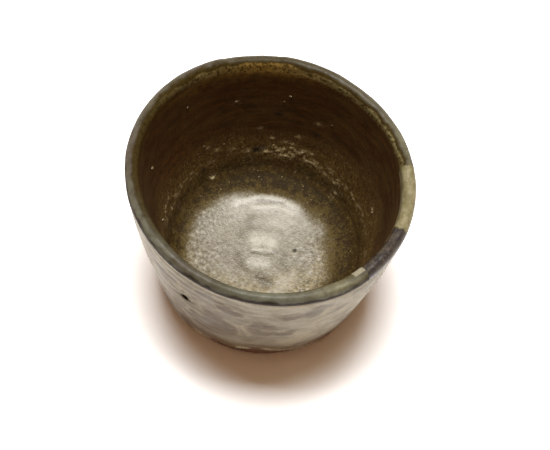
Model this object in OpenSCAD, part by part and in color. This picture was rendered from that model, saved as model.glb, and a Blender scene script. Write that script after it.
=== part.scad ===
// Hand-thrown stoneware dipping cup: a clay body, its glaze coats, an iron-painted lip,
// the old fills that mend the chipped lip, and the stone grains that burst through the glaze.
// Millimetres. The cup stands on z = 0 with its axis on Z, and the mended lip is on the +X side.

/* [Form] */
// Diameter over the lip
rim_d = 80; // [66:0.5:96]
// Height from the table to the top of the lip
cup_h = 57; // [46:0.5:72]
// Diameter over the glazed wall at its foot
base_d = 62.4; // [54:0.2:72]
// How far the wall swells out beyond a straight taper
belly = 0.9; // [0:0.1:2]

/* [Clay] */
// Thickness of the clay at the lip
lip_t = 2.6; // [2:0.1:4]
// Thickness of the clay wall at the foot
foot_wall_t = 3.8; // [3:0.1:6]
// Thickness of the clay floor over the recess
floor_t = 6; // [3:0.5:9]
// Radius of the hollow corner between wall and floor
corner_r = 8; // [4:0.5:11]
// Radius of the raised navel that the thrower left on the floor
navel_r = 6; // [3:0.5:9]
// Height of the navel
navel_h = 0.8; // [0.3:0.1:2]

/* [Foot] */
// Bevel that was trimmed under the wall
foot_bevel = 1.2; // [0.6:0.1:3]
// Width of the flat ring that the cup stands on
foot_w = 7; // [4:0.5:12]
// Depth of the recess inside the ring
recess_depth = 2.5; // [1:0.1:4]
// Slope of the recess wall, from its edge to its ceiling
recess_slope = 1.5; // [0:0.1:3]

/* [Coats] */
// Thickness of the pale outer glaze
outer_glaze_t = 0.6; // [0.3:0.1:1]
// Thickness of the brown inner glaze
inner_glaze_t = 0.6; // [0.3:0.1:1]
// Thickness of the iron-painted lip coat
iron_t = 0.6; // [0.3:0.1:1]
// Height above the table where the outer glaze stops
glaze_line = 4; // [2:0.1:12]
// Reach of the iron down the outside, below the rounded lip
iron_out = 0.4; // [0.2:0.1:3]
// Reach of the iron down the inside, below the rounded lip
iron_in = 1.4; // [0.2:0.1:4]

/* [Mended lip] */
// Depth of the chips below the rounded lip
chip_depth = 1.9; // [0.6:0.1:5]
// Angle from +X where the mended stretch begins
repair_from = 11; // [-20:1:40]
// Angle that the pale fill takes
pale_arc = 31; // [15:1:60]
// Angle that the dark fill takes
dark_arc = 25; // [10:1:50]
// Angle that the small fill takes
spot_arc = 5; // [3:1:10]

/* [Stone grains] */
// Radius of a common grain
grain_r = 0.5; // [0.4:0.05:0.8]
// Glaze that is left under a grain
under_grain = 0.25; // [0.1:0.05:0.25]

/* [Hidden] */
$fn = 96;

// Straight steps along the glazed walls and along the short bands, and degrees to a step of an arc
wall_steps = 14;
band_steps = 2;
arc_step = 15;
grain_fn = 32;
// Degrees that a cut runs on past the piece it trims
overrun = 1;

// Grains: angle from +X, place up the wall from corner (0) to lip (1), size against a common grain
GRAINS = [
    [14, 0.32, 0.9], [48, 0.11, 0.9], [61, 0.61, 0.9], [65, 0.11, 1.0], [74, 0.18, 1.2],
    [85, 0.75, 1.1], [88, 0.68, 1.0], [91, 0.18, 1.1], [112, 0.68, 0.9], [120, 0.25, 0.9],
    [132, 0.32, 0.9], [138, 0.82, 1.0], [171, 0.68, 1.2], [180, 0.18, 1.1],
    [212, 0.25, 1.0], [236, 0.68, 0.9], [285, 0.61, 1.0], [325, 0.46, 0.9]
];

rim_r = rim_d / 2;
base_r = base_d / 2;
lip_r = lip_t / 2;
// Height where the wall turns into the rounded lip
lip_spring = cup_h - iron_t - lip_r;
floor_z = recess_depth + floor_t;
iron_out_z = lip_spring - iron_out;
iron_in_z = lip_spring - iron_in;
chip_z = lip_spring - chip_depth;
clay_base_r = base_r - outer_glaze_t;
clay_rim_r = rim_r - iron_t;

// Share of the way up the wall, from the bevel to the lip
function up(z) = (z - foot_bevel) / (lip_spring - foot_bevel);
function clay_t(z) = foot_wall_t + (lip_t - foot_wall_t) * up(z);
function clay_outer_r(z) =
    clay_base_r + (clay_rim_r - clay_base_r) * up(z) + 4 * belly * up(z) * (1 - up(z));
function clay_inner_r(z) = clay_outer_r(z) - clay_t(z);

lip_centre = [clay_inner_r(lip_spring) + lip_r, lip_spring];

// Lean of the inner wall at a height, which the hollow corner runs on from
function inner_lean(z) =
    atan((clay_rim_r - clay_base_r + 4 * belly * (1 - 2 * up(z)) + foot_wall_t - lip_t)
         / (lip_spring - foot_bevel));
corner_lean = inner_lean(floor_z + corner_r);
corner_top = floor_z + corner_r * (1 - sin(corner_lean));
corner_centre = [clay_inner_r(corner_top) - corner_r * cos(corner_lean), floor_z + corner_r];

function heights(from, to, steps) = [for (i = [0:steps]) from + (to - from) * i / steps];
function reversed(points) = [for (i = [len(points) - 1:-1:0]) points[i]];
function rest(points) = [for (i = [1:len(points) - 1]) points[i]];

// Stretches of the clay surface in the (radius, height) plane, grown by the thickness of a coat
function outer_wall(from, to, steps, coat) =
    [for (z = heights(from, to, steps)) [clay_outer_r(z) + coat, z]];
function inner_wall(from, to, steps, coat) =
    [for (z = heights(from, to, steps)) [clay_inner_r(z) - coat, z]];
function lip_top(coat) =
    [for (a = [arc_step:arc_step:180 - arc_step]) lip_centre + (lip_r + coat) * [cos(a), sin(a)]];
function corner(coat) =
    let (steps = ceil((90 - corner_lean) / arc_step))
    [for (i = [1:steps])
        let (a = -corner_lean - (90 - corner_lean) * i / steps)
        corner_centre + (corner_r - coat) * [cos(a), sin(a)]];
function navel(coat) =
    let (steps = 6)
    [for (i = [0:steps])
        [navel_r * (1 - i / steps), floor_z + coat + navel_h * (1 - cos(180 * i / steps)) / 2]];

// The three coated stretches: up the outside, over the lip, and down the inside to the axis
function outside(coat) = outer_wall(glaze_line, iron_out_z, wall_steps, coat);
function over_lip(outer_z, inner_z, coat) =
    concat(outer_wall(outer_z, lip_spring, band_steps, coat),
           lip_top(coat),
           inner_wall(lip_spring, inner_z, band_steps, coat));
function inside(coat) =
    concat(inner_wall(iron_in_z, corner_top, wall_steps, coat), corner(coat), navel(coat));

// Turns a coat between two copies of one stretch of surface
module turned_coat(under, over) {
    rotate_extrude() polygon(concat(under, reversed(over)));
}

// Stretch of ring between two angles
module turned_arc(from, arc) {
    rotate([0, 0, from]) rotate_extrude(angle = arc) children();
}

// Whole section of the finished lip above the bottom of the chips
module lip_section() {
    polygon(over_lip(chip_z, chip_z, iron_t));
}

// Slice of the chipped zone between two radii, taller than the lip
module lip_slice(from_r, to_r) {
    translate([from_r, chip_z]) square([to_r - from_r, chip_depth + lip_t]);
}

pale_from = repair_from - pale_arc;
dark_from = pale_from - dark_arc;
spot_from = dark_from - spot_arc;
past_lip_r = rim_r + lip_t;
before_lip_r = lip_centre[0] - 3 * lip_t;
// The small fill takes the inner half of the lip
spot_to_r = lip_centre[0];

module chips() {
    turned_arc(dark_from, pale_arc + dark_arc) lip_slice(before_lip_r, past_lip_r);
    turned_arc(spot_from, spot_arc + overrun) lip_slice(before_lip_r, spot_to_r);
}

module clay_body() {
    color("sienna")
    difference() {
        rotate_extrude() polygon(concat(
            [[0, recess_depth],
             [clay_base_r - foot_bevel - foot_w - recess_slope, recess_depth],
             [clay_base_r - foot_bevel - foot_w, 0],
             [clay_base_r - foot_bevel, 0]],
            outer_wall(foot_bevel, glaze_line, band_steps, 0),
            rest(outside(0)),
            rest(over_lip(iron_out_z, iron_in_z, 0)),
            rest(inside(0))));
        chips();
    }
}

module inner_glaze() {
    color("#3a2712")
    difference() {
        turned_coat(inside(0), inside(inner_glaze_t));
        chips();
        feldspar_grains();
    }
}

module outer_glaze() {
    color("#b8ab98")
    difference() {
        turned_coat(outside(0), outside(outer_glaze_t));
        chips();
    }
}

module iron_lip() {
    color("#3b332b")
    difference() {
        turned_coat(over_lip(iron_out_z, iron_in_z, 0), over_lip(iron_out_z, iron_in_z, iron_t));
        chips();
    }
}

module pale_fill() {
    color("#b9ad82")
    turned_arc(pale_from, pale_arc) lip_section();
}

module dark_fill() {
    color("#4a3d3c")
    turned_arc(dark_from, dark_arc) lip_section();
}

module spot_fill() {
    color("#c4b79a")
    turned_arc(spot_from, spot_arc)
        intersection() {
            lip_section();
            lip_slice(before_lip_r, spot_to_r);
        }
}

module feldspar_grains() {
    color("#d8cfb8")
    for (g = GRAINS) {
        z = corner_top + (iron_in_z - corner_top) * g[1];
        size = grain_r * g[2];
        rotate([0, 0, g[0]])
            translate([clay_inner_r(z) - under_grain - size, 0, z])
            sphere(size, $fn = grain_fn);
    }
}

clay_body();
inner_glaze();
outer_glaze();
iron_lip();
pale_fill();
dark_fill();
spot_fill();
feldspar_grains();
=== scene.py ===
"""Dressed model of a hand-thrown stoneware dipping cup with a mended iron lip.

Lengths are millimetres and angles are degrees from +X towards +Y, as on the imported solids. Meshes
are written in metres, in the same frame.
"""
import logging
import math
from abc import ABC, abstractmethod
from dataclasses import dataclass, replace
from enum import Enum
from functools import cached_property, reduce
from typing import Any, ClassVar

import bmesh
import bpy
import numpy as np
from mathutils import Matrix, Vector


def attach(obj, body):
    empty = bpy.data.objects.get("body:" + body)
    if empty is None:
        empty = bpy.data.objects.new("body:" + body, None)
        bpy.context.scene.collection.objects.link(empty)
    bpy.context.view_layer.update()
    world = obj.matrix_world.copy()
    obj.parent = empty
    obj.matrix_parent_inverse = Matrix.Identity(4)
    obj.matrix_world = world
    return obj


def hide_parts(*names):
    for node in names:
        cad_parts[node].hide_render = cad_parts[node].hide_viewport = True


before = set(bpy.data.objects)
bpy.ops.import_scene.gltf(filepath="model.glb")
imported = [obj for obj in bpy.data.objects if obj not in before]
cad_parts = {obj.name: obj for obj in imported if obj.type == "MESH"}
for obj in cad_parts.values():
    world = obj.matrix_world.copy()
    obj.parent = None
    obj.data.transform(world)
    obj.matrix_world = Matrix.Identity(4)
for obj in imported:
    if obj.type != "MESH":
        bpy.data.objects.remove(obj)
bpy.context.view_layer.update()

Array = np.ndarray
Pair = tuple[float, float]
Triple = tuple[float, float, float]
Tone = tuple[float, float, float, float]
Socket = bpy.types.NodeSocket
MM = 0.001
EVEN: Triple = (1, 1, 1)
log = logging.getLogger("dipping_cup")


class Node(Enum):
    """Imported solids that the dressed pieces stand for."""

    CLAY_BODY = "clay_body"
    INNER_GLAZE = "inner_glaze"
    OUTER_GLAZE = "outer_glaze"
    IRON_LIP = "iron_lip"
    PALE_FILL = "pale_fill"
    DARK_FILL = "dark_fill"
    SPOT_FILL = "spot_fill"
    FELDSPAR_GRAINS = "feldspar_grains"


class Slot(Enum):
    """Material slots of the record."""

    CLAY = "clay"
    BROWN_GLAZE = "brown_glaze"
    PALE_GLAZE = "pale_glaze"
    IRON_GLAZE = "iron_glaze"
    PALE_FILLER = "pale_filler"
    DARK_LACQUER = "dark_lacquer"
    FELDSPAR = "feldspar"


class Stretch(Enum):
    """Stretches of the clay's half section, in order along it."""

    RECESS = 0
    RECESS_WALL = 1
    FOOT = 2
    BEVEL = 3
    OUTSIDE = 4
    LIP = 5
    INSIDE = 6
    CORNER = 7
    FLOOR = 8
    NAVEL = 9


class Curve(Enum):
    """Ways in which a ramp climbs."""

    STRAIGHT = "LINEAR"
    SMOOTH = "SMOOTHSTEP"


class Sum(Enum):
    """Sums of two values in a shader."""

    PLUS = "ADD"
    MINUS = "SUBTRACT"
    TIMES = "MULTIPLY"
    LARGER = "MAXIMUM"


def tone(red: float, green: float, blue: float) -> Tone:
    """Turns a colour of 0 to 255, as seen on a screen, into the linear one that shaders take.

    Args:
        red: Red part.
        green: Green part.
        blue: Blue part.

    Returns:
        Linear colour with full alpha.
    """
    shares = [value / 255.0 for value in (red, green, blue)]
    linear = [c / 12.92 if c <= 0.04045 else ((c + 0.055) / 1.055) ** 2.4 for c in shares]
    return (linear[0], linear[1], linear[2], 1.0)


def rise(value: Array, low: float | Array, high: float | Array) -> Array:
    """Smooth step from 0 at low to 1 at high."""
    share = np.clip((value - low) / (high - low), 0.0, 1.0)
    return share * share * (3.0 - 2.0 * share)


def turned(theta: Array, centre: float | Array) -> Array:
    """Angles from a centre angle, between -180 and 180."""
    return (theta - centre + 180.0) % 360.0 - 180.0


def hump(distance: Array, width: float | Array) -> Array:
    """Bell shape that is 1 at no distance and fades out over the width."""
    return np.exp(-((distance / width) ** 2))


def patches(theta: Array, rows: tuple[Triple, ...]) -> Array:
    """Sum of soft patches round the cup, each a weight, an angle and a width."""
    return sum(weight * hump(turned(theta, angle), width) for weight, angle, width in rows)


def paced(share: Array, turn: float, first: Array, middle: Any, last: Any) -> Array:
    """Runs from one value to another by way of a third.

    Args:
        share: Shares of the way, from 0 to 1.
        turn: Share of the way at which the middle is passed.
        first: Value at the start.
        middle: Value at the turn.
        last: Value at the end.

    Returns:
        Value at each share.
    """
    return np.where(share < turn, first + (middle - first) * share / turn,
                    middle + (last - middle) * (share - turn) / (1 - turn))


class Unevenness:
    """Seeded smooth noise in space, from -1 to 1: the unevenness of hand work."""

    MASK: ClassVar[int] = 4095
    OFFSET: ClassVar[float] = 311.7

    def __init__(self, seed: int) -> None:
        """Draws the values that the noise runs between.

        Args:
            seed: Seed that fixes the noise.
        """
        rng = np.random.default_rng(seed)
        self._values = rng.uniform(-1.0, 1.0, self.MASK + 1)
        self._order = rng.permutation(self.MASK + 1)

    def _corner(self, i: Array, j: Array, k: Array) -> Array:
        """Value at a whole-numbered corner of the noise's cells."""
        order, mask = self._order, self.MASK
        return self._values[order[(order[(order[i & mask] + j) & mask] + k) & mask]]

    def at(self, points: Array, size: float, stretch: Triple = EVEN) -> Array:
        """Reads the noise.

        Args:
            points: Points in millimetres, in the last axis.
            size: Rough size of a lump in millimetres.
            stretch: How much longer the lumps are along X, Y and Z.

        Returns:
            Noise at each point.
        """
        scaled = points / (size * np.asarray(stretch, float)) + self.OFFSET
        cell = np.floor(scaled).astype(int)
        part = scaled - cell
        part = part * part * part * (part * (part * 6.0 - 15.0) + 10.0)
        total = np.zeros(points.shape[:-1])
        for corner in range(8):
            step = [(corner >> axis) & 1 for axis in range(3)]
            share = np.ones(points.shape[:-1])
            for axis in range(3):
                share = share * (part[..., axis] if step[axis] else 1.0 - part[..., axis])
            total += share * self._corner(*(cell[..., axis] + step[axis] for axis in range(3)))
        return total


@dataclass(frozen=True)
class Places:
    """Places on the turned clay, at which marks and masks are worked out."""

    theta: Array
    s: Array
    r: Array
    z: Array
    points: Array
    noise: Unevenness

    def lumps(self, size: float, stretch: Triple = EVEN, shift: float = 0.0) -> Array:
        """Unevenness of the hand, from -1 to 1, in lumps of a size."""
        return self.noise.at(self.points + shift, size, stretch)

    def around(self, *rows: Triple) -> Array:
        """Sum of soft patches round the cup, each a weight, an angle and a width."""
        return patches(self.theta, rows)

    def marked(self, marks: "tuple[Mark, ...]") -> Array:
        """Sum of marks."""
        return sum(mark.nearness(self) for mark in marks)


@dataclass(frozen=True)
class ClaySection:
    """Half section of the turned clay, from under the middle, over the lip, to the navel.

    The fields are the sizes of the packed clay body. A place along the section is given by s, the
    length from its start.
    """

    base_r: float = 30.6
    rim_r: float = 39.4
    belly: float = 0.9
    foot_wall: float = 3.8
    lip_t: float = 2.6
    spring: float = 55.1
    bevel: float = 1.2
    foot_w: float = 7.0
    recess: float = 2.5
    recess_slope: float = 1.5
    floor_z: float = 8.5
    corner_r: float = 8.0
    navel_r: float = 6.0
    navel_h: float = 0.8
    step: float = 0.1
    soften: float = 0.35
    margin: int = 30
    samples: ClassVar[dict[Stretch, int]] = {
        Stretch.OUTSIDE: 400, Stretch.LIP: 60, Stretch.INSIDE: 300, Stretch.CORNER: 60,
        Stretch.NAVEL: 40}

    def up(self, z: Array | float) -> Array | float:
        """Share of the way up the wall, from the bevel to the lip."""
        return (z - self.bevel) / (self.spring - self.bevel)

    def outer_r(self, z: Array | float) -> Array | float:
        """Radius of the clay's outside at a height."""
        up = self.up(z)
        return self.base_r + (self.rim_r - self.base_r) * up + 4 * self.belly * up * (1 - up)

    def inner_r(self, z: Array | float) -> Array | float:
        """Radius of the clay's inside at a height."""
        return self.outer_r(z) - self.foot_wall - (self.lip_t - self.foot_wall) * self.up(z)

    @cached_property
    def lip_r(self) -> float:
        """Radius of the middle of the rounded lip."""
        return float(self.inner_r(self.spring)) + self.lip_t / 2

    @cached_property
    def _lines(self) -> list[Array]:
        """Points of each stretch, in the order of Stretch.

        Returns:
            Radius and height of the points, one list of points for each stretch.
        """
        flat_r = self.base_r - self.bevel
        edge_r = flat_r - self.foot_w
        lean_z = self.floor_z + self.corner_r
        reach = (self.rim_r - self.base_r + 4 * self.belly * (1 - 2 * float(self.up(lean_z)))
                 + self.foot_wall - self.lip_t)
        lean = math.atan(reach / (self.spring - self.bevel))
        top = self.floor_z + self.corner_r * (1 - math.sin(lean))
        middle_r = float(self.inner_r(top)) - self.corner_r * math.cos(lean)
        wall = np.linspace(self.bevel, self.spring, self.samples[Stretch.OUTSIDE])
        lip = np.radians(np.linspace(0, 180, self.samples[Stretch.LIP]))
        inside = np.linspace(self.spring, top, self.samples[Stretch.INSIDE])
        bend = np.linspace(-lean, -math.pi / 2, self.samples[Stretch.CORNER])
        navel = np.linspace(0, 1, self.samples[Stretch.NAVEL])
        return [
            np.array([[0, self.recess], [edge_r - self.recess_slope, self.recess]]),
            np.array([[edge_r - self.recess_slope, self.recess], [edge_r, 0]]),
            np.array([[edge_r, 0], [flat_r, 0]]),
            np.array([[flat_r, 0], [self.base_r, self.bevel]]),
            np.column_stack([self.outer_r(wall), wall]),
            np.column_stack([self.lip_r + self.lip_t / 2 * np.cos(lip),
                             self.spring + self.lip_t / 2 * np.sin(lip)]),
            np.column_stack([self.inner_r(inside), inside]),
            np.column_stack([middle_r + self.corner_r * np.cos(bend),
                             lean_z + self.corner_r * np.sin(bend)]),
            np.array([[middle_r, self.floor_z], [self.navel_r, self.floor_z]]),
            np.column_stack([self.navel_r * (1 - navel),
                             self.floor_z + self.navel_h * (1 - np.cos(math.pi * navel)) / 2]),
        ]

    @cached_property
    def _starts(self) -> list[float]:
        """Length along the section where each stretch begins, and where the last one ends."""
        lengths = [np.linalg.norm(np.diff(line, axis=0), axis=1).sum() for line in self._lines]
        return [0.0, *np.cumsum(lengths).tolist()]

    def start(self, stretch: Stretch) -> float:
        """Length along the section where a stretch begins."""
        return self._starts[stretch.value]

    @property
    def end(self) -> float:
        """Whole length of the section."""
        return self._starts[-1]

    @cached_property
    def _path(self) -> tuple[Array, Array, Array, Array, Array]:
        """Even samples along the section, with its corners softened.

        Returns:
            Length along it, radius, height, and the two parts of the way out of the clay.
        """
        points = np.concatenate([self._lines[0], *(line[1:] for line in self._lines[1:])])
        along = np.concatenate([[0], np.cumsum(np.linalg.norm(np.diff(points, axis=0), axis=1))])
        s = np.linspace(0, self.end, int(self.end / self.step))
        margin = self.margin
        spread = np.arange(-margin, margin + 1) * self.step
        kernel = np.exp(-0.5 * (spread / self.soften) ** 2)
        kernel /= kernel.sum()
        smooth = []
        for axis, sign in ((0, -1.0), (1, 1.0)):
            line = np.interp(s, along, points[:, axis])
            before, after = line[1:margin + 1][::-1] * sign, line[-margin - 1:-1][::-1] * sign
            smooth.append(np.convolve(np.concatenate([before, line, after]), kernel, "valid"))
        r, z = smooth
        run = np.gradient(r), np.gradient(z)
        length = np.hypot(*run)
        return s, np.maximum(r, 0.0), z, run[1] / length, -run[0] / length

    def at(self, s: Array) -> tuple[Array, Array, Array, Array]:
        """Radius, height and the two parts of the way out of the clay, at lengths along it."""
        path = self._path
        return tuple(np.interp(s, path[0], values) for values in path[1:])

    def _met(self, first: Stretch, last: Stretch, z: Array | float, sign: float) -> Array:
        """Finds where heights are met on stretches that only rise or only fall.

        Args:
            first: First stretch to look at.
            last: Last stretch to look at.
            z: Heights.
            sign: 1 where the stretches rise, -1 where they fall.

        Returns:
            Lengths along the section.
        """
        s, _, heights = self._path[:3]
        near = (s >= self.start(first)) & (s <= self._starts[last.value + 1])
        return np.interp(sign * np.asarray(z), sign * heights[near], s[near])

    def outside_at(self, z: Array | float) -> Array:
        """Length along the section at a height of the outside."""
        return self._met(Stretch.OUTSIDE, Stretch.OUTSIDE, z, 1.0)

    def inside_at(self, z: Array | float) -> Array:
        """Length along the section at a height of the inside."""
        return self._met(Stretch.INSIDE, Stretch.CORNER, z, -1.0)

    @property
    def lip_top(self) -> float:
        """Length along the section at the top of the lip."""
        return (self.start(Stretch.LIP) + self.start(Stretch.INSIDE)) / 2


@dataclass(frozen=True)
class HandThrow:
    """How the thrown cup strays from a true turned shape."""

    height: float = 57.0
    oval: float = 0.017
    oval_angle: float = 143.0
    lean: float = 1.44
    lean_angle: float = 187.0
    soft_z: Pair = (36.0, 55.0)
    waves: tuple[Triple, ...] = (
        (-0.40, 354, 9), (0.30, 25, 12), (-0.12, 58, 8), (0.10, 73, 8), (-0.33, 107, 9),
        (0.20, 131, 10), (0.14, 165, 15), (-0.25, 240, 14), (0.24, 285, 16), (0.28, 324, 10))
    dip: Triple = (91.0, 116.0, 0.35)
    dip_edge: float = 1.5

    def bend(self, theta: Array, r: Array, z: Array) -> Array:
        """Moves points of the turned shape to where the hand left them.

        Args:
            theta: Angles.
            r: Radii.
            z: Heights.

        Returns:
            Points, in the last axis.
        """
        high = np.clip(z / self.height, 0.0, 1.1)
        turn = np.radians(theta)
        r = r * (1 + self.oval * high ** 1.3 * np.cos(2 * (turn - math.radians(self.oval_angle))))
        lift = self.lean * high ** 2 * np.cos(turn - math.radians(self.lean_angle))
        first, last, depth = self.dip
        edge = self.dip_edge
        dip = rise(turned(theta, first), -edge, edge) * (1 - rise(turned(theta, last), -edge, edge))
        lift = lift + rise(z, *self.soft_z) * (patches(theta, self.waves) - depth * dip)
        return np.stack([r * np.cos(turn), r * np.sin(turn), z + lift], axis=-1)


class Mark(ABC):
    """A soft mark somewhere on the cup."""

    @abstractmethod
    def nearness(self, at: Places) -> Array:
        """The mark's strength at its middle, fading out over its width."""


@dataclass(frozen=True)
class FloorMark(Mark):
    """A mark on the floor, along a line between two places."""

    x0: float
    y0: float
    x1: float
    y1: float
    width: float
    strength: float

    def nearness(self, at: Places) -> Array:
        """How near places are to the mark.

        Args:
            at: Places on the clay.

        Returns:
            The mark's strength on its line, fading out over its width.
        """
        run = np.array([self.x1 - self.x0, self.y1 - self.y0])
        gap = at.points[..., :2] - np.array([self.x0, self.y0])
        share = np.clip(gap @ run / max(float(run @ run), 1e-9), 0.0, 1.0)
        aside = np.linalg.norm(gap - share[..., None] * run, axis=-1)
        return self.strength * hump(aside, self.width)


@dataclass(frozen=True)
class WallMark(Mark):
    """A small round mark on the wall at an angle and a height."""

    angle: float
    z: float
    width: float
    strength: float = 1.0
    squat: float = 1.0
    least_r: ClassVar[float] = 20.0

    def nearness(self, at: Places) -> Array:
        """How near places are to the mark.

        Args:
            at: Places on the clay.

        Returns:
            The mark's strength at its middle, fading out over its width.
        """
        aside = np.radians(turned(at.theta, self.angle)) * np.maximum(at.r, self.least_r)
        return self.strength * np.exp(-(aside / (self.width * self.squat)) ** 2
                                      - ((at.z - self.z) / self.width) ** 2)


def floor_marks(*rows: tuple[float, ...]) -> tuple[FloorMark, ...]:
    """Marks on the floor, one for each row of numbers."""
    return tuple(FloorMark(*row) for row in rows)


def wall_marks(*rows: tuple[float, ...]) -> tuple[WallMark, ...]:
    """Marks on the wall, one for each row of numbers."""
    return tuple(WallMark(*row) for row in rows)


@dataclass(frozen=True)
class ThrowingMarks:
    """Rings, lumps and dents that the fingers, tools and fire left in the surface."""

    ring_out: float = 0.10
    pitch_out: float = 3.7
    pitch_fine: float = 1.25
    ring_in: float = 0.02
    pitch_in: float = 4.4
    lump: float = 0.24
    lump_size: float = 17.0
    ledge: float = 0.03
    spark: float = 0.26
    ledge_z: float = 19.6
    gritty_z: Pair = (20.0, 32.0)
    grain: float = 0.055
    floor_pitch: float = 3.3
    floor_r: float = 22.0
    dish: float = 0.9
    trim_pitch: float = 2.1
    fillet: Triple = (0.8, 5.5, 6.5)
    slim: Triple = (0.85, 262.0, 30.0)
    slim_ends: Pair = (3.0, 18.0)
    roll: Triple = (0.45, 98.0, 34.0)
    roll_drop: float = 2.2
    roll_reach: Pair = (2.0, 8.0)
    navel: Triple = (6.0, 0.8, 0.55)
    dents: tuple[FloorMark, ...] = floor_marks(
        (-3.1, -0.6, -0.6, -0.9, 0.34, 0.22), (0.3, -1.2, 2.8, -0.3, 0.32, 0.20),
        (9.4, 1.5, 9.5, 1.5, 0.48, 0.50), (9.6, 1.5, 14.2, 1.4, 0.26, 0.06),
        (-0.3, 1.6, -0.2, 1.6, 0.36, 0.24))
    ridges: tuple[FloorMark, ...] = floor_marks(
        (-9.0, 17.3, -2.3, 19.0, 0.8, 0.16), (-2.3, 19.0, 4.4, 18.1, 0.8, 0.18),
        (4.4, 18.1, 9.5, 15.6, 0.8, 0.14), (-3.6, 15.6, 2.6, 16.2, 0.7, 0.10))
    pinholes: tuple[WallMark, ...] = wall_marks((237.8, 36.5, 1.25, 0.9, 0.62))
    # glints: angle, height and strength of crests along the ledge, raised a little and painted as
    # highlights
    glint_width: float = 0.46
    glints: tuple[Triple, ...] = (
        (95.5, 18.8, 1.3), (85.1, 20.6, 1.0), (87.9, 19.8, 1.0), (90.5, 20.9, 1.0),
        (92.1, 24.7, 0.7), (97.4, 20.1, 0.6), (105.7, 19.1, 0.5), (86.4, 17.8, 0.6),
        (84.5, 23.8, 0.5), (80.6, 21.8, 0.6), (83.4, 18.2, 0.5), (80.4, 23.6, 0.5),
        (80.9, 17.7, 0.4), (77.9, 21.0, 0.5), (74.8, 20.9, 0.9), (73.3, 22.2, 0.9),
        (77.7, 27.3, 0.5), (68.3, 22.4, 0.7), (65.2, 19.3, 0.7), (63.5, 18.5, 0.5),
        (70.9, 18.3, 0.4), (57.3, 17.7, 0.5), (49.2, 17.3, 0.6), (45.4, 14.4, 0.5),
        (46.4, 18.3, 0.5), (15.4, 27.5, 0.9), (130.5, 13.1, 1.0), (130.1, 25.7, 0.5),
        (124.5, 23.0, 0.4), (114.6, 21.1, 0.5), (143.6, 20.0, 0.4), (167.1, 17.4, 0.9),
        (172.0, 21.8, 0.9), (173.9, 20.7, 0.6), (175.6, 19.8, 0.5), (179.9, 20.7, 0.8),
        (166.3, 22.1, 0.5), (111.6, 41.0, 0.3), (68.4, 36.0, 0.4), (99.1, 28.8, 0.3),
        (210.0, 20.5, 0.6), (233.0, 19.0, 0.5), (258.0, 21.0, 0.7), (284.0, 18.8, 0.5),
        (311.0, 20.4, 0.6))

    @staticmethod
    def _rings(along: Array, pitch: float, turn: Array, sway: Array) -> Array:
        """Spiral rings of a pitch, from -1 to 1, that sway with the hand."""
        return np.sin(2 * np.pi * (along / pitch + turn / 360) + sway)

    def outside(self, at: Places) -> Array:
        """Height of the marks on the outside wall.

        Args:
            at: Places on the clay.

        Returns:
            Heights out of the clay.
        """
        rings = self._rings(at.z, self.pitch_out, at.theta, 1.7 * at.lumps(15.0))
        fine = self._rings(at.z, self.pitch_fine, at.theta, 2.6 * at.lumps(7.0))
        return (self.ring_out * rings * (0.65 + 0.5 * at.lumps(9.0)) + 0.02 * fine
                + self.lump * at.lumps(self.lump_size) + 0.09 * at.lumps(5.0)
                + 0.045 * at.lumps(2.2, (2.6, 2.6, 0.7)))

    def _above_ledge(self, at: Places) -> Array:
        """Height above the ledge, which wanders round the inside wall."""
        return at.z - self.ledge_z - 1.1 * at.lumps(18.0)

    def inside(self, at: Places) -> Array:
        """Height of the marks on the inside wall.

        Args:
            at: Places on the clay.

        Returns:
            Heights out of the clay.
        """
        rings = self._rings(at.z, self.pitch_in, at.theta, 1.4 * at.lumps(13.0))
        ledge = hump(self._above_ledge(at), 1.6) * (0.6 + 0.5 * at.lumps(2.4))
        gritty = 1 - rise(at.z, *self.gritty_z)
        return (self.ring_in * rings + 0.14 * at.lumps(15.0) + 0.025 * at.lumps(3.2)
                + self.ledge * ledge + self.grain * (0.15 + gritty) * at.lumps(1.0)
                + self.spark * self.sparks(at))

    def sparks(self, at: Places) -> Array:
        """Short crests along the ledge that catch the light; the same crests are painted as
        highlights.

        Args:
            at: Places on the clay.

        Returns:
            Height of the crests, from 0 to 1.
        """
        above = self._above_ledge(at)
        aglow = 0.15 + at.around((0.5, 78, 22), (0.3, 34, 15), (0.35, 168, 16))
        spread = hump(above, 1.5) + 0.12 * hump(above + 4.0, 2.6)
        crest = rise(at.lumps(0.9, (1.3, 1.3, 0.8), 7.3), 0.2, 0.55)
        height = np.clip(aglow, 0, 1) * spread * crest
        for angle, z, strength in self.glints:
            squat = 0.7 + 0.8 * abs(math.sin(math.radians(angle)))
            glint = WallMark(angle, z, self.glint_width, 1.2 * strength, squat)
            height = height + glint.nearness(at)
        return height

    def floor(self, at: Places) -> Array:
        """Height of the marks on the floor.

        Args:
            at: Places on the clay.

        Returns:
            Heights out of the clay.
        """
        spiral = self._rings(at.r, self.floor_pitch, -at.theta, at.lumps(9.0))
        height = (self.dish * (at.r / self.floor_r) ** 2 + 0.022 * spiral * rise(at.r, 4.0, 8.0)
                  + 0.07 * at.lumps(6.5) + 0.015 * at.lumps(2.3)
                  + self.grain * 0.4 * at.lumps(0.9))
        reach, tall, worn = self.navel
        height = height - worn * tall * (1 + np.cos(np.pi * np.minimum(at.r / reach, 1.0))) / 2
        return height - at.marked(self.dents) + at.marked(self.ridges)


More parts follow.
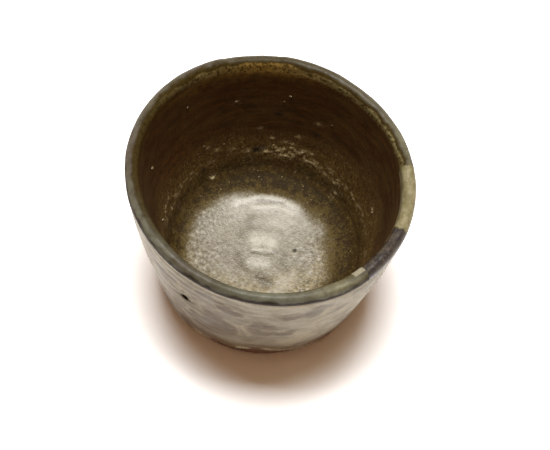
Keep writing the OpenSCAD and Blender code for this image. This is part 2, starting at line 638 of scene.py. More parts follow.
class ThrownSurface:
    """The clay's surface as the hand left it, which every piece is laid on."""

    SEED: ClassVar[int] = 41
    SEAMS: ClassVar[tuple[float, ...]] = (11.0, 340.0, 315.0, 310.0)
    SEAM_SWAY: ClassVar[float] = 0.75
    SEAM_WIDTH: ClassVar[float] = 1.6
    SEAM_SCALE: ClassVar[float] = 1.4
    SEAMS_APART: ClassVar[float] = 40.0
    SET_IN: ClassVar[Pair] = (0.5, 4.0)
    LIP_FADE: ClassVar[float] = 3.0

    def __init__(self, section: ClaySection, throw: HandThrow, marks: ThrowingMarks) -> None:
        """Keeps the shapes that make up the surface.

        Args:
            section: Half section of the clay.
            throw: How the cup strays from a true turned shape.
            marks: Rings, lumps and dents.
        """
        self.section = section
        self.throw = throw
        self.marks = marks
        self.noise = Unevenness(self.SEED)

    def places(self, theta: Array, s: Array) -> Places:
        """Places of the true turned shape.

        Args:
            theta: Angles.
            s: Lengths along the section.

        Returns:
            The places, on the grid of the two.
        """
        theta, s = np.broadcast_arrays(theta, s)
        r, z = self.section.at(s)[:2]
        turn = np.radians(theta)
        points = np.stack([r * np.cos(turn), r * np.sin(turn), z], axis=-1)
        return Places(theta, s, r, z, points, self.noise)

    def relief(self, at: Places) -> Array:
        """Height of the hand's marks above the turned shape.

        Args:
            at: Places on the clay.

        Returns:
            Heights out of the clay.
        """
        section, marks, s, start = self.section, self.marks, at.s, self.section.start
        outside, lip, inside, corner, floor = (start(part) for part in (
            Stretch.OUTSIDE, Stretch.LIP, Stretch.INSIDE, Stretch.CORNER, Stretch.FLOOR))
        (before, after), near_lip = self.SET_IN, lip - self.LIP_FADE
        floor_share = rise(s, corner + 3, floor)
        inside_share = rise(s, inside - before, inside + after) * (1 - floor_share)
        outside_share = rise(s, outside - before, outside + after)
        outside_share = outside_share * (1 - rise(s, near_lip, lip + before))
        lip_share = rise(s, near_lip, lip) * (1 - rise(s, inside, inside + after))
        under_share = 1 - rise(s, start(Stretch.RECESS_WALL) - 1, start(Stretch.FOOT))
        height = outside_share * marks.outside(at)
        height += inside_share * marks.inside(at)
        height += floor_share * marks.floor(at)
        full, below, reach = marks.fillet
        height += full * hump(s - corner - below, reach)
        slimmed = (inside + end for end in marks.slim_ends)
        height -= at.around(marks.slim) * rise(s, section.lip_top - 1.0, inside) \
            * (1 - rise(s, *slimmed))
        under = s - inside - marks.roll_drop
        height += at.around(marks.roll) * hump(under, np.where(under < 0, *marks.roll_reach))
        height += lip_share * (0.07 * at.lumps(5.0) + 0.025 * at.lumps(1.6))
        trimmed = np.sin(2 * np.pi * at.r / marks.trim_pitch + np.radians(at.theta))
        height += under_share * (0.07 * trimmed + 0.05 * at.lumps(1.5))
        return height - outside_share * at.marked(marks.pinholes)

    def points(self, at: Places, lift: Array | float, ceiling: Array | None = None) -> Array:
        """Points at a height above the clay.

        Args:
            at: Places on the clay.
            lift: Heights above the clay.
            ceiling: Height that the clay is chipped down to, where it is.

        Returns:
            Points, in the last axis.
        """
        theta, s = at.theta, at.s
        r, z, out_r, out_z = self.section.at(s)
        height = self.relief(at) + lift
        for number, seam in enumerate(self.SEAMS):
            near = hump(turned(theta, seam), self.SEAM_WIDTH)
            row = np.stack([s * self.SEAM_SCALE, np.full_like(s, self.SEAMS_APART * number),
                            np.zeros_like(s)], axis=-1)
            theta = theta + self.SEAM_SWAY * self.noise.at(row, 1.0) * near
        r, z = r + out_r * height, z + out_z * height
        if ceiling is not None:
            z = np.minimum(z, ceiling)
        return self.throw.bend(theta, r, z)


@dataclass(frozen=True)
class LipEdges:
    """Edges that the coats and fills of the lip share, as lengths along the section."""

    surface: ThrownSurface
    coat: float = 0.6
    glaze_line: float = 2.6
    glaze_least: float = 1.8
    bare: tuple[Triple, ...] = ((6.5, 272, 20), (2.6, 242, 13), (1.8, 302, 10), (2.2, 95, 22))
    iron_out: float = 0.9
    iron_in: float = 1.4
    chip_depth: float = 1.9
    mended: Pair = (315.0, 371.0)
    spot: Pair = (310.0, 315.0)
    ring_r: float = 40.0
    step_side: float = 0.012
    step_clear: float = 0.1

    def wander(self, theta: Array, *waves: Triple) -> Array:
        """Smooth wandering along the lip.

        Args:
            theta: Angles.
            *waves: Each a weight, a height in the noise that tells one edge from another, and the
                length of a wave.

        Returns:
            Wandering at each angle.
        """
        turn, total = np.radians(theta), 0.0
        for weight, seed, size in waves:
            ring = np.stack([self.ring_r * np.cos(turn), self.ring_r * np.sin(turn),
                             np.full_like(turn, seed)], axis=-1)
            total = total + weight * self.surface.noise.at(ring, size)
        return total

    @property
    def section(self) -> ClaySection:
        """Half section of the clay."""
        return self.surface.section

    def is_mended(self, theta: Array) -> Array:
        """Whether the lip is chipped right through at each angle."""
        return (theta - self.mended[0]) % 360.0 <= self.mended[1] - self.mended[0]

    def is_spot(self, theta: Array) -> Array:
        """Whether the small chip in the inner half of the lip is at each angle."""
        return (theta - self.spot[0]) % 360.0 <= self.spot[1] - self.spot[0]

    def chip_z(self, theta: Array) -> Array:
        """Height of the bottom of the chips at each angle."""
        return self.section.spring - self.chip_depth + self.wander(theta, (0.3, 900, 3.0))

    def glaze_foot(self, theta: Array) -> Array:
        """Lower edge of the outer glaze.

        Args:
            theta: Angles.

        Returns:
            Lengths along the section.
        """
        sway = self.wander(theta, (0.55, 100, 9), (0.25, 150, 2.5))
        z = self.glaze_line + patches(theta, self.bare) + sway
        return self.section.outside_at(np.maximum(z, self.glaze_least))

    def iron_foot(self, theta: Array) -> Array:
        """Lower edge of the iron on the outside, where nothing is chipped."""
        sway = self.wander(theta, (0.3, 200, 7), (0.12, 250, 2))
        return self.section.outside_at(self.section.spring - self.iron_out + sway)

    def iron_inner(self, theta: Array) -> Array:
        """Lower edge of the iron on the inside, where nothing is chipped."""
        sway = self.wander(theta, (0.45, 300, 8), (0.2, 350, 2))
        return self.section.inside_at(self.section.spring - self.iron_in + sway)

    def chip_outer(self, theta: Array) -> Array:
        """Where the chips come out on the outside."""
        return self.section.outside_at(self.chip_z(theta))

    def chip_inner(self, theta: Array) -> Array:
        """Where the chips come out on the inside."""
        return self.section.inside_at(self.chip_z(theta))

    def outer_top(self, theta: Array) -> Array:
        """Upper edge of the outer glaze."""
        return np.where(self.is_mended(theta), self.chip_outer(theta), self.iron_foot(theta))

    def inner_top(self, theta: Array) -> Array:
        """Upper edge of the inner glaze."""
        chipped = self.is_mended(theta) | self.is_spot(theta)
        return np.where(chipped, self.chip_inner(theta), self.iron_inner(theta))

    def columns(self, even: Array, *steps: float) -> Array:
        """Angles of a grid, with two close together at each step of an edge.

        Args:
            even: Even angles.
            *steps: Angles where an edge steps up or down.

        Returns:
            Angles, in order, as one row.
        """
        sides = (-self.step_side, self.step_side)
        close = np.array([step + side for step in steps for side in sides]) % 360.0
        gaps = np.abs(turned(even[:, None], np.array(steps)))
        clear = np.all(gaps > self.step_clear, axis=1)
        return np.sort(np.concatenate([even[clear], close]))[None, :]

    def ring(self, count: int, *steps: float) -> Array:
        """Angles of a grid that goes all round, with two close together at each step."""
        return self.columns(np.linspace(0.0, 360.0, count, endpoint=False), *steps)


@dataclass
class Weave:
    """Points, faces and masks of a mesh, in millimetres."""

    points: Array
    faces: list[list[int]]
    masks: dict[str, Array]

    @classmethod
    def grid(cls, points: Array, masks: dict[str, Array], loop_rows: bool = False,
             loop_columns: bool = False, poles: bool = False) -> "Weave":
        """Weaves a grid of points into a closed mesh.

        Args:
            points: Grid of points, rows first.
            masks: Values of each mask on the same grid.
            loop_rows: Whether the last row joins the first.
            loop_columns: Whether the last column joins the first; otherwise the ends are capped.
            poles: Whether the first and last row close to a point.

        Returns:
            The woven mesh.
        """
        rows, columns = points.shape[:2]
        index = np.arange(rows * columns).reshape(rows, columns)
        if loop_rows:
            index = np.vstack([index, index[:1]])
        if loop_columns:
            index = np.hstack([index, index[:, :1]])
        quads = np.stack([index[:-1, :-1], index[:-1, 1:], index[1:, 1:], index[1:, :-1]], axis=-1)
        faces = quads.reshape(-1, 4).tolist()
        flat = points.reshape(-1, 3)
        values = {name: mask.reshape(-1) for name, mask in masks.items()}
        if poles:
            for row in (0, rows - 1):
                ring = index[row, :columns]
                faces += [[int(a), int(b), len(flat)] for a, b in zip(ring, np.roll(ring, -1))]
                flat = np.vstack([flat, flat[ring].mean(axis=0)])
                values = {name: np.append(mask, mask[ring].mean()) for name, mask in values.items()}
        if not loop_columns:
            for column in (0, columns - 1):
                line = index[:rows, column].tolist()
                faces += [[line[i], line[i + 1], line[rows - 2 - i], line[rows - 1 - i]]
                          for i in range(rows // 2 - 1)]
        return cls(flat, faces, values)

    def joined(self, other: "Weave") -> "Weave":
        """This mesh and another one as loose parts of one mesh.

        Args:
            other: Mesh with the same masks.

        Returns:
            The two together.
        """
        shift = len(self.points)
        moved = [[corner + shift for corner in face] for face in other.faces]
        masks = {name: np.append(mask, other.masks[name]) for name, mask in self.masks.items()}
        return Weave(np.vstack([self.points, other.points]), self.faces + moved, masks)

    def to_object(self, name: str, material: bpy.types.Material, sharp: float) -> bpy.types.Object:
        """Makes a Blender object of the mesh.

        Args:
            name: Name of the object.
            material: Finish of the object.
            sharp: Angle over which an edge is sharp.

        Returns:
            The object, linked to the scene.
        """
        mesh = bpy.data.meshes.new(name)
        mesh.from_pydata((self.points * MM).tolist(), [], self.faces)
        shape = bmesh.new()
        shape.from_mesh(mesh)
        bmesh.ops.recalc_face_normals(shape, faces=shape.faces)
        shape.to_mesh(mesh)
        shape.free()
        mesh.shade_smooth()
        mesh.set_sharp_from_angle(angle=math.radians(sharp))
        for mask, values in self.masks.items():
            layer = mesh.attributes.new(mask, "FLOAT", "POINT")
            layer.data.foreach_set("value", np.ascontiguousarray(values, dtype=np.float32))
        mesh.materials.append(material)
        made = bpy.data.objects.new(name, mesh)
        bpy.context.scene.collection.objects.link(made)
        return made


class NodeBench:
    """Short ways to lay out and join shader nodes.

    Wherever a value is asked for, a name stands for the mask of that name that the mesh carries.
    """

    UNDER: ClassVar[int] = 6
    OVER: ClassVar[int] = 7
    BLENDED: ClassVar[int] = 2

    def __init__(self, tree: bpy.types.NodeTree) -> None:
        """Clears a node tree to work on.

        Args:
            tree: The node tree.
        """
        self.tree = tree
        tree.nodes.clear()

    def add(self, kind: str, **options: Any) -> bpy.types.Node:
        """Adds a node with some of its options set.

        Args:
            kind: Blender's name of the node.
            **options: Options by name.

        Returns:
            The node.
        """
        node = self.tree.nodes.new(kind)
        for option, value in options.items():
            setattr(node, option, value)
        return node

    def join(self, value: Any, socket: Socket) -> None:
        """Feeds a socket from another socket or from a mask, or sets its plain value.

        Args:
            value: Socket, name of a mask, or plain value.
            socket: Socket to feed.
        """
        if isinstance(value, str):
            value = self.add("ShaderNodeAttribute", attribute_name=value).outputs["Fac"]
        if isinstance(value, Socket):
            self.tree.links.new(value, socket)
        else:
            socket.default_value = value

    def feed(self, node: bpy.types.Node, **values: Any) -> None:
        """Feeds sockets of a node, named with _ for each space."""
        for name, value in values.items():
            self.join(value, node.inputs[name.replace("_", " ")])

    def ramp(self, value: Any, low: float, high: float, bottom: float = 0.0, top: float = 1.0,
             curve: Curve = Curve.SMOOTH) -> Socket:
        """Ramp between two levels, clamped.

        Args:
            value: Value to spread.
            low: Value that gives the bottom.
            high: Value that gives the top.
            bottom: Lower level.
            top: Upper level.
            curve: How the ramp climbs.

        Returns:
            The level.
        """
        node = self.add("ShaderNodeMapRange", interpolation_type=curve.value)
        self.feed(node, Value=value, From_Min=low, From_Max=high, To_Min=bottom, To_Max=top)
        return node.outputs["Result"]

    def sum(self, kind: Sum, first: Any, second: Any) -> Socket:
        """Result of one sum.

        Args:
            kind: Kind of sum.
            first: First value.
            second: Second value.

        Returns:
            The result.
        """
        node = self.add("ShaderNodeMath", operation=kind.value)
        self.join(first, node.inputs[0])
        self.join(second, node.inputs[1])
        return node.outputs["Value"]

    def both(self, *values: Any) -> Any:
        """Product of several values.

        Args:
            *values: One value or more.

        Returns:
            The product, or the value itself if it is the only one.
        """
        result = values[0]
        for value in values[1:]:
            result = self.sum(Sum.TIMES, result, value)
        return result

    def layers(self, colour: Any, *coats: tuple[Any, ...]) -> Any:
        """Lays colours over one another.

        Args:
            colour: Lowest colour.
            *coats: Each a colour and one or more shares of it, which are multiplied.

        Returns:
            The blended colour.
        """
        for over, *shares in coats:
            node = self.add("ShaderNodeMix", data_type="RGBA")
            self.join(self.both(*shares), node.inputs["Factor"])
            self.join(colour, node.inputs[self.UNDER])
            self.join(over, node.inputs[self.OVER])
            colour = node.outputs[self.BLENDED]
        return colour

    def seen(self) -> Socket:
        """Tells rays that show a surface to the eye from rays that light other things.

        Returns:
            1 for rays to the eye, 0 for the others.
        """
        rays = self.add("ShaderNodeLightPath").outputs
        straight = self.sum(Sum.LARGER, rays["Is Camera Ray"], rays["Is Glossy Ray"])
        return self.sum(Sum.LARGER, straight, rays["Is Transmission Ray"])


class ShaderBench(NodeBench):
    """Bench for a finish: one principled shader, with noise in the object's own frame."""

    def __init__(self, name: str) -> None:
        """Starts a material with one principled shader.

        Args:
            name: Name of the material.
        """
        self.material = bpy.data.materials.new(name)
        self.material.use_nodes = True
        super().__init__(self.material.node_tree)
        self.shader = self.add("ShaderNodeBsdfPrincipled")
        output = self.add("ShaderNodeOutputMaterial")
        self.join(self.shader.outputs["BSDF"], output.inputs["Surface"])
        self._where = self.add("ShaderNodeTexCoord").outputs["Object"]

    def settle(self, **values: Any) -> None:
        """Feeds sockets of the shader, named with _ for each space."""
        self.feed(self.shader, **values)

    def _place(self, stretch: Triple) -> Socket:
        """Object coordinates, drawn out along the axes.

        Args:
            stretch: How much they are drawn out along X, Y and Z.

        Returns:
            The coordinates.
        """
        if stretch == EVEN:
            return self._where
        mapping = self.add("ShaderNodeMapping")
        self.feed(mapping, Vector=self._where, Scale=tuple(1.0 / part for part in stretch))
        return mapping.outputs["Vector"]

    def noise(self, size: float, detail: float = 2.0, rough: float = 0.5, warp: float = 0.0,
              stretch: Triple = EVEN) -> Socket:
        """Cloudy noise.

        Args:
            size: Size of a cloud in millimetres.
            detail: Number of finer layers.
            rough: Weight of the finer layers.
            warp: Distortion.
            stretch: How much longer the clouds are along X, Y and Z.

        Returns:
            Value around 0.5.
        """
        node = self.add("ShaderNodeTexNoise")
        self.feed(node, Vector=self._place(stretch), Scale=1.0 / (size * MM), Detail=detail,
                  Roughness=rough, Distortion=warp)
        return node.outputs["Fac"]

    def cells(self, size: float) -> Socket:
        """Distance from the middles of scattered cells.

        Args:
            size: Size of a cell in millimetres.

        Returns:
            Value that is 0 at each middle.
        """
        node = self.add("ShaderNodeTexVoronoi")
        self.feed(node, Vector=self._where, Scale=1.0 / (size * MM))
        return node.outputs["Distance"]

    def bump(self, height: Any, distance: float, strength: float) -> None:
        """Gives the shader a fine relief.

        Args:
            height: Height from 0 to 1.
            distance: What a height of 1 stands for, in millimetres.
            strength: Strength of the relief.
        """
        node = self.add("ShaderNodeBump")
        self.feed(node, Height=height, Distance=distance * MM, Strength=strength)
        self.settle(Normal=node.outputs["Normal"])


class Finish(ABC):
    """A finish that a piece can be dressed in."""

    name: ClassVar[str]

    def mix(self) -> bpy.types.Material:
        """Mixes the finish as a node material.

        Returns:
            The material.
        """
        bench = ShaderBench(self.name)
        self.dress(bench)
        return bench.material

    @abstractmethod
    def dress(self, bench: ShaderBench) -> None:
        """Lays out the finish's nodes on its bench."""


@dataclass(frozen=True)
class BareClay(Finish):
    """Fired reddish clay with grit and trimming scratches."""

    red: Tone = tone(138, 92, 57)
    dark: Tone = tone(90, 56, 38)
    ash: Tone = tone(160, 126, 94)
    grit: Tone = tone(196, 176, 148)
    name: ClassVar[str] = "fired_clay"

    def dress(self, bench: ShaderBench) -> None:
        """Lays out the clay's nodes.

        Args:
            bench: Bench of the finish.
        """
        ramp, fine = bench.ramp, bench.noise(0.5, 3, 0.6)
        colour = bench.layers(
            self.dark,
            (self.red, ramp(bench.noise(6, 4, 0.6), 0.35, 0.65)),
            (self.ash, ramp(bench.noise(2.4, 3, 0.6), 0.55, 0.72, 0, 0.7)),
            (self.grit, ramp(bench.cells(1.6), 0.16, 0.08, 0, 0.8)),
            (self.dark, ramp(fine, 0.4, 0.62, 0.3, 0)))
        bench.settle(Base_Color=colour, Roughness=ramp(fine, 0.3, 0.7, 0.72, 0.92))
        bench.bump(bench.sum(Sum.PLUS, fine, bench.noise(1.4, 2)), 0.16, 0.8)


@dataclass(frozen=True)
class PaleGlaze(Finish):
    """Beige-grey glaze, wiped on in soft lobes, browner towards the foot from thinner glaze and
    painted shade, with painted shade over the front.
    """

    beige: Tone = tone(217, 209, 186)
    cream: Tone = tone(216, 203, 168)
    # dim is the colour of the painted shade over the front, and of some mottling
    dim: Tone = tone(120, 104, 80)
    lilac: Tone = tone(106, 90, 71)
    # tan: thin glaze over the clay towards the foot, partly painted shade
    tan: Tone = tone(86, 60, 31)
    umber: Tone = tone(106, 72, 40)
    speck: Tone = tone(16, 12, 9)
    name: ClassVar[str] = "pale_wiped_glaze"

    def dress(self, bench: ShaderBench) -> None:
        """Lays out the glaze's nodes.

        Args:
            bench: Bench of the finish.
        """
        ramp = bench.ramp
        wisp = bench.noise(8, 3, 0.5, 0.4, (1.1, 1.1, 0.9))
        streak = bench.noise(3.4, 3, 0.55, 0.4, (1.5, 1.5, 0.9))
        brushed = bench.noise(3.0, 4, 0.62, 0.4, (2.6, 2.6, 0.5))
        fine = bench.noise(0.7, 3, 0.55)
        colour = bench.layers(
            self.beige,
            # painted shade: the front, turned away from the lamp, is darker
            (self.dim, "dim", ramp(wisp, 0.3, 0.6, 0.7, 1)),
            (self.lilac, ramp(wisp, 0.42, 0.68, 0, 0.25)),
            (self.lilac, "lilac", ramp(streak, 0.3, 0.6, 0.6, 0.9)),
            (self.dim, ramp(brushed, 0.47, 0.32, 0, 0.35)),
            (self.cream, ramp(brushed, 0.52, 0.68, 0, 0.4)),
            (self.cream, ramp(streak, 0.54, 0.70, 0, 0.35)),
            (self.cream, "ridge", ramp(fine, 0.35, 0.6, 0.2, 0.6)),
            (self.cream, "cream", ramp(fine, 0.3, 0.55, 0.5, 1)),
            (self.dim, ramp(bench.noise(1.5, 4, 0.65), 0.48, 0.36, 0, 0.25)),
            # browner towards the foot: partly thinner glaze over the clay, partly painted shade
            (self.tan, "low", ramp(streak, 0.34, 0.62, 1.0, 0.6)),
            (self.umber, "thin", ramp(bench.noise(1.2, 4, 0.7), 0.36, 0.6, 0.35, 1.0)),
            (self.cream, "bead", ramp(fine, 0.32, 0.58, 0.2, 0.8)),
            (self.umber, "brim", 0.55),
            (self.umber, ramp(bench.cells(2.1), 0.10, 0.05), 0.35),
            (self.speck, "pin"))
        rough = bench.sum(Sum.PLUS, ramp(wisp, 0.3, 0.7, 0.36, 0.52), bench.both("pin", 0.5))
        bench.settle(Base_Color=colour, Roughness=rough, IOR=1.5,
                     Specular_IOR_Level=ramp("pin", 0.2, 0.8, 0.22, 0.0))
        bench.bump(bench.sum(Sum.PLUS, bench.both(streak, 0.7), bench.both(fine, 0.5)), 0.12, 0.7)


@dataclass(frozen=True)
class BrownGlaze(Finish):
    """Dark brown glaze: rust and ochre on the wall, grit low down, a floor film, painted glints,
    shade and sheen.
    """

    deep: Tone = tone(77, 48, 16)
    umber: Tone = tone(92, 67, 30)
    rust: Tone = tone(122, 78, 30)
    ochre: Tone = tone(150, 118, 54)
    olive: Tone = tone(124, 98, 50)
    moss: Tone = tone(97, 80, 36)
    shade: Tone = tone(45, 32, 8)
    sand: Tone = tone(208, 186, 136)
    # glint: colour of the painted highlights on the ledge's crests and specks
    glint: Tone = tone(246, 226, 176)
    film: Tone = tone(158, 149, 124)
    mauve: Tone = tone(157, 147, 127)
    # chalk: pale film, and the colour of the painted highlights and sheen on the floor
    chalk: Tone = tone(222, 216, 198)
    gold: Tone = tone(176, 157, 108)
    dull: Tone = tone(98, 84, 53)
    ink: Tone = tone(22, 20, 22)
    name: ClassVar[str] = "brown_lining_glaze"

    def dress(self, bench: ShaderBench) -> None:
        """Lays out the glaze's nodes.

        Args:
            bench: Bench of the finish.
        """
        ramp, both = bench.ramp, bench.both
        cloud = bench.noise(8, 4, 0.6, 0.4, (1.3, 1.3, 0.8))
        thrown = bench.noise(2.2, 4, 0.65, 0.3, (2.4, 2.4, 0.55))
        strokes = bench.noise(0.9, 3, 0.6, 0.0, (0.8, 0.8, 1.8))
        mottle, grit = bench.noise(1.5, 3, 0.6), bench.noise(0.55, 2, 0.6)
        flecks = bench.noise(1.1, 4, 0.7)
        sandy = bench.layers(
            self.umber,
            (self.olive, ramp(strokes, 0.4, 0.6)),
            (self.sand, ramp(bench.noise(0.9, 2, 0.7), 0.60, 0.72, 0, 0.6)))
        grained = bench.sum(Sum.PLUS, both(bench.noise(0.6, 3, 0.7), 0.6),
                            both(bench.noise(1.9, 3, 0.65), 0.5))
        grained = bench.sum(Sum.PLUS, grained, both("moss", 0.10))
        # painted shade: darker high in the corner, where it turns up towards the lamp
        grained = bench.sum(Sum.MINUS, grained, both("painted_corner_shade", 0.12))
        mossy = bench.layers(self.shade, (self.moss, ramp(grained, 0.46, 0.70)))
        specks = both(ramp(bench.cells(1.25), 0.17, 0.09), ramp(mottle, 0.52, 0.6, 0, 0.7))
        wall = bench.layers(
            self.deep,
            (self.umber, ramp(cloud, 0.36, 0.66)),
            (self.rust, ramp(thrown, 0.52, 0.68, 0, 0.45)),
            (self.shade, ramp(thrown, 0.48, 0.34, 0, 0.5)),
            (self.rust, "rust", ramp(mottle, 0.4, 0.62, 0.1, 0.8)),
            (sandy, "gritty", ramp(cloud, 0.3, 0.6, 0.55, 1)),
            (mossy, "corner", 0.92),
            (self.sand, "gritty", specks),
            (self.ochre, "ochre", ramp(mottle, 0.34, 0.58, 0.15, 1)),
            # painted highlights on the crests along the ledge, and painted sparkle round them
            (self.glint, "painted_glints", ramp(grit, 0.38, 0.52, 0.3, 1)),
            (self.glint, "painted_sparkle", ramp(bench.noise(0.5, 2, 0.6), 0.56, 0.66)))
        film = bench.layers(
            self.film,
            (self.mauve, ramp(cloud, 0.4, 0.6)),
            (self.gold, "gold", ramp(mottle, 0.36, 0.6, 0.3, 1)),
            (self.dull, ramp(bench.noise(3.2, 3, 0.6, 0.6), 0.52, 0.70, 0, 0.3)),
            (self.dull, ramp(flecks, 0.52, 0.61), "worn"),
            (self.chalk, ramp(flecks, 0.48, 0.39, 0, 0.9), "worn"),
            (self.dull, ramp(grit, 0.36, 0.52, 1, 0), "worn"),
            # painted highlights and sheen from the pale marks, with a few pale patches
            (self.chalk, "pale", ramp(mottle, 0.3, 0.55, 0.55, 1)),
            (self.dull, "dull", ramp(mottle, 0.34, 0.56, 0.5, 1)),
            (self.chalk, ramp(grit, 0.56, 0.70, 0, 0.4)),
            (self.moss, ramp("film", 0.3, 0.9, 0.8, 0)))
        uneven = bench.sum(Sum.PLUS, both(grit, 0.8), both(flecks, 0.7))
        edge = bench.sum(Sum.PLUS, "film", bench.sum(Sum.MINUS, uneven, 0.75))
        colour = bench.layers(wall, (film, ramp(edge, 0.1, 0.9)), (self.ink, "ink"))
        bench.settle(Base_Color=colour, Roughness=ramp("film", 0.5, 1.0, 0.72, 0.38), IOR=1.55,
                     Specular_IOR_Level=ramp("film", 0.5, 1.0, 0.16, 0.5))
        relief = bench.sum(Sum.PLUS, grit, both(mottle, 0.6))
        bench.bump(both(relief, ramp("film", 0.6, 1.0, 1.0, 2.4)), 0.07, 0.8)


@dataclass(frozen=True)
class IronGlaze(Finish):
    """Iron brown on the lip: a dark outer line, a painted grey-green highlight, brown on top and
    gold inside.
    """

    brown: Tone = tone(70, 55, 18)
    dark: Tone = tone(55, 42, 12)
    sepia: Tone = tone(92, 66, 27)
    # grey, green, plum and worn colour the painted highlight along the lip's rounded outer side
    grey: Tone = tone(106, 98, 75)
    green: Tone = tone(120, 120, 100)
    plum: Tone = tone(104, 94, 80)
    worn: Tone = tone(158, 154, 122)
    edge: Tone = tone(40, 31, 18)
    gold: Tone = tone(164, 153, 105)
    amber: Tone = tone(156, 124, 62)
    name: ClassVar[str] = "iron_lip_glaze"

    def dress(self, bench: ShaderBench) -> None:
        """Lays out the glaze's nodes.

        Args:
            bench: Bench of the finish.
        """
        ramp = bench.ramp
        cloud, mottle = bench.noise(3.6, 4, 0.6), bench.noise(1.1, 3, 0.6)
        golden = bench.layers(self.gold, (self.amber, "amber"))
        crest = bench.layers(
            self.brown, (golden, ramp(bench.noise(0.9, 3, 0.6), 0.36, 0.54, 0.1, 1)))
        # painted highlight: grey-green, greener at the front, plum at the left, palest at the front
        # right and right
        band = bench.layers(
            self.grey, (self.green, "green"), (self.plum, "plum"),
            (self.worn, "worn", ramp(mottle, 0.3, 0.55, 0.5, 1)))
        colour = bench.layers(
            self.dark,
            (self.brown, ramp(mottle, 0.38, 0.6)),
            (self.sepia, "down", 0.85),
            (crest, "inner", ramp(cloud, 0.34, 0.6, 0.6, 1)),
            (band, "band", ramp(cloud, 0.32, 0.6, 0.5, 1)),
            (self.edge, "edge", 0.9))
        bench.settle(Base_Color=colour, Roughness=ramp(mottle, 0.3, 0.7, 0.40, 0.55), IOR=1.5,
                     Specular_IOR_Level=ramp("band", 0.0, 0.8, 0.06, 0.36))
        bench.bump(bench.sum(Sum.PLUS, mottle, bench.noise(0.4, 2)), 0.06, 0.8)


@dataclass(frozen=True)
class KhakiPutty(Finish):
    """Khaki repair putty, filed matte."""

    khaki: Tone = tone(136, 127, 86)
    pale: Tone = tone(170, 160, 122)
    stain: Tone = tone(92, 80, 46)
    name: ClassVar[str] = "khaki_putty"

    def dress(self, bench: ShaderBench) -> None:
        """Lays out the putty's nodes.

        Args:
            bench: Bench of the finish.
        """
        ramp, cloud = bench.ramp, bench.noise(2.6, 4, 0.62)
        filed = bench.noise(0.35, 2, 0.6, 0.0, (1, 6, 1))
        colour = bench.layers(
            self.khaki,
            (self.pale, ramp(cloud, 0.36, 0.64)),
            (self.stain, ramp(filed, 0.52, 0.68, 0, 0.4)),
            (self.stain, "rim", ramp(cloud, 0.4, 0.6, 0.35, 1)))
        bench.settle(Base_Color=colour, Roughness=ramp(filed, 0.3, 0.7, 0.5, 0.68), IOR=1.45)
        bench.bump(bench.sum(Sum.PLUS, filed, cloud), 0.05, 0.7)


@dataclass(frozen=True)
class PlumLacquer(Finish):
    """Purple-brown repair lacquer with pale dust in it."""

    plum: Tone = tone(80, 67, 48)
    dark: Tone = tone(50, 39, 31)
    dust: Tone = tone(122, 107, 88)
    name: ClassVar[str] = "plum_lacquer"

    def dress(self, bench: ShaderBench) -> None:
        """Lays out the lacquer's nodes.

        Args:
            bench: Bench of the finish.
        """
        ramp, cloud, fine = bench.ramp, bench.noise(2.2, 4, 0.65), bench.noise(0.45, 2, 0.6)
        colour = bench.layers(
            self.dark,
            (self.plum, ramp(cloud, 0.38, 0.62)),
            (self.dust, ramp(fine, 0.56, 0.7, 0, 0.55)),
            (self.dark, "rim", 0.6))
        bench.settle(Base_Color=colour, Roughness=ramp(cloud, 0.3, 0.7, 0.32, 0.5), IOR=1.5)
        bench.bump(bench.sum(Sum.PLUS, fine, cloud), 0.05, 0.7)


@dataclass(frozen=True)
class FusedFeldspar(Finish):
    """White stone grains, half melted into the glaze."""

    white: Tone = tone(184, 162, 112)
    honey: Tone = tone(84, 62, 30)
    name: ClassVar[str] = "fused_feldspar"

    def dress(self, bench: ShaderBench) -> None:
        """Lays out the stone's nodes.

        Args:
            bench: Bench of the finish.
        """
        ramp, fine = bench.ramp, bench.noise(0.4, 3, 0.6)
        colour = bench.layers(self.honey, (self.white, "fresh", ramp(fine, 0.36, 0.62)))
        bench.settle(Base_Color=colour, Roughness=ramp(fine, 0.3, 0.7, 0.2, 0.4), IOR=1.53)
        bench.bump(fine, 0.06, 0.6)


@dataclass
class CupPiece(ABC):
    """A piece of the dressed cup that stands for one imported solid."""

    surface: ThrownSurface
    edges: LipEdges
    finish: Finish
    node: ClassVar[Node]
    slot: ClassVar[Slot]
    name: ClassVar[str]
    sharp: ClassVar[float] = 50.0

    @abstractmethod
    def weave(self) -> Weave:
        """Weaves the piece's mesh."""

    def make(self) -> None:
        """Builds and dresses the piece, and puts it in its solid's place."""
        made = self.weave().to_object(self.name, self.finish.mix(), self.sharp)
        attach(made, "root")
        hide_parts(self.node.value)
        log.info("%s stands for %s: %d faces", self.name, self.node.value, len(made.data.polygons))


@dataclass
class ThrownClay(CupPiece):
    """The clay pot, from its recessed foot over the chipped lip to the floor."""

    columns: int = 360
    rows: int = 225
    pole_gap: float = 0.3
    unchipped: float = 1e3
    node: ClassVar[Node] = Node.CLAY_BODY
    slot: ClassVar[Slot] = Slot.CLAY
    name: ClassVar[str] = "thrown_clay"

    def weave(self) -> Weave:
        """Weaves the pot as one skin from pole to pole.

        Returns:
            The pot's mesh.
        """
        section, edges = self.surface.section, self.edges
        theta = edges.ring(self.columns, *edges.mended, edges.spot[0])
        s = np.linspace(self.pole_gap, section.end - self.pole_gap, self.rows)[:, None]
        chipped = edges.is_mended(theta) | (edges.is_spot(theta) & (s > section.lip_top))
        ceiling = np.where(chipped, edges.chip_z(theta), self.unchipped)
        points = self.surface.points(self.surface.places(theta, s), 0.0, ceiling)
        return Weave.grid(points, {}, loop_columns=True, poles=True)


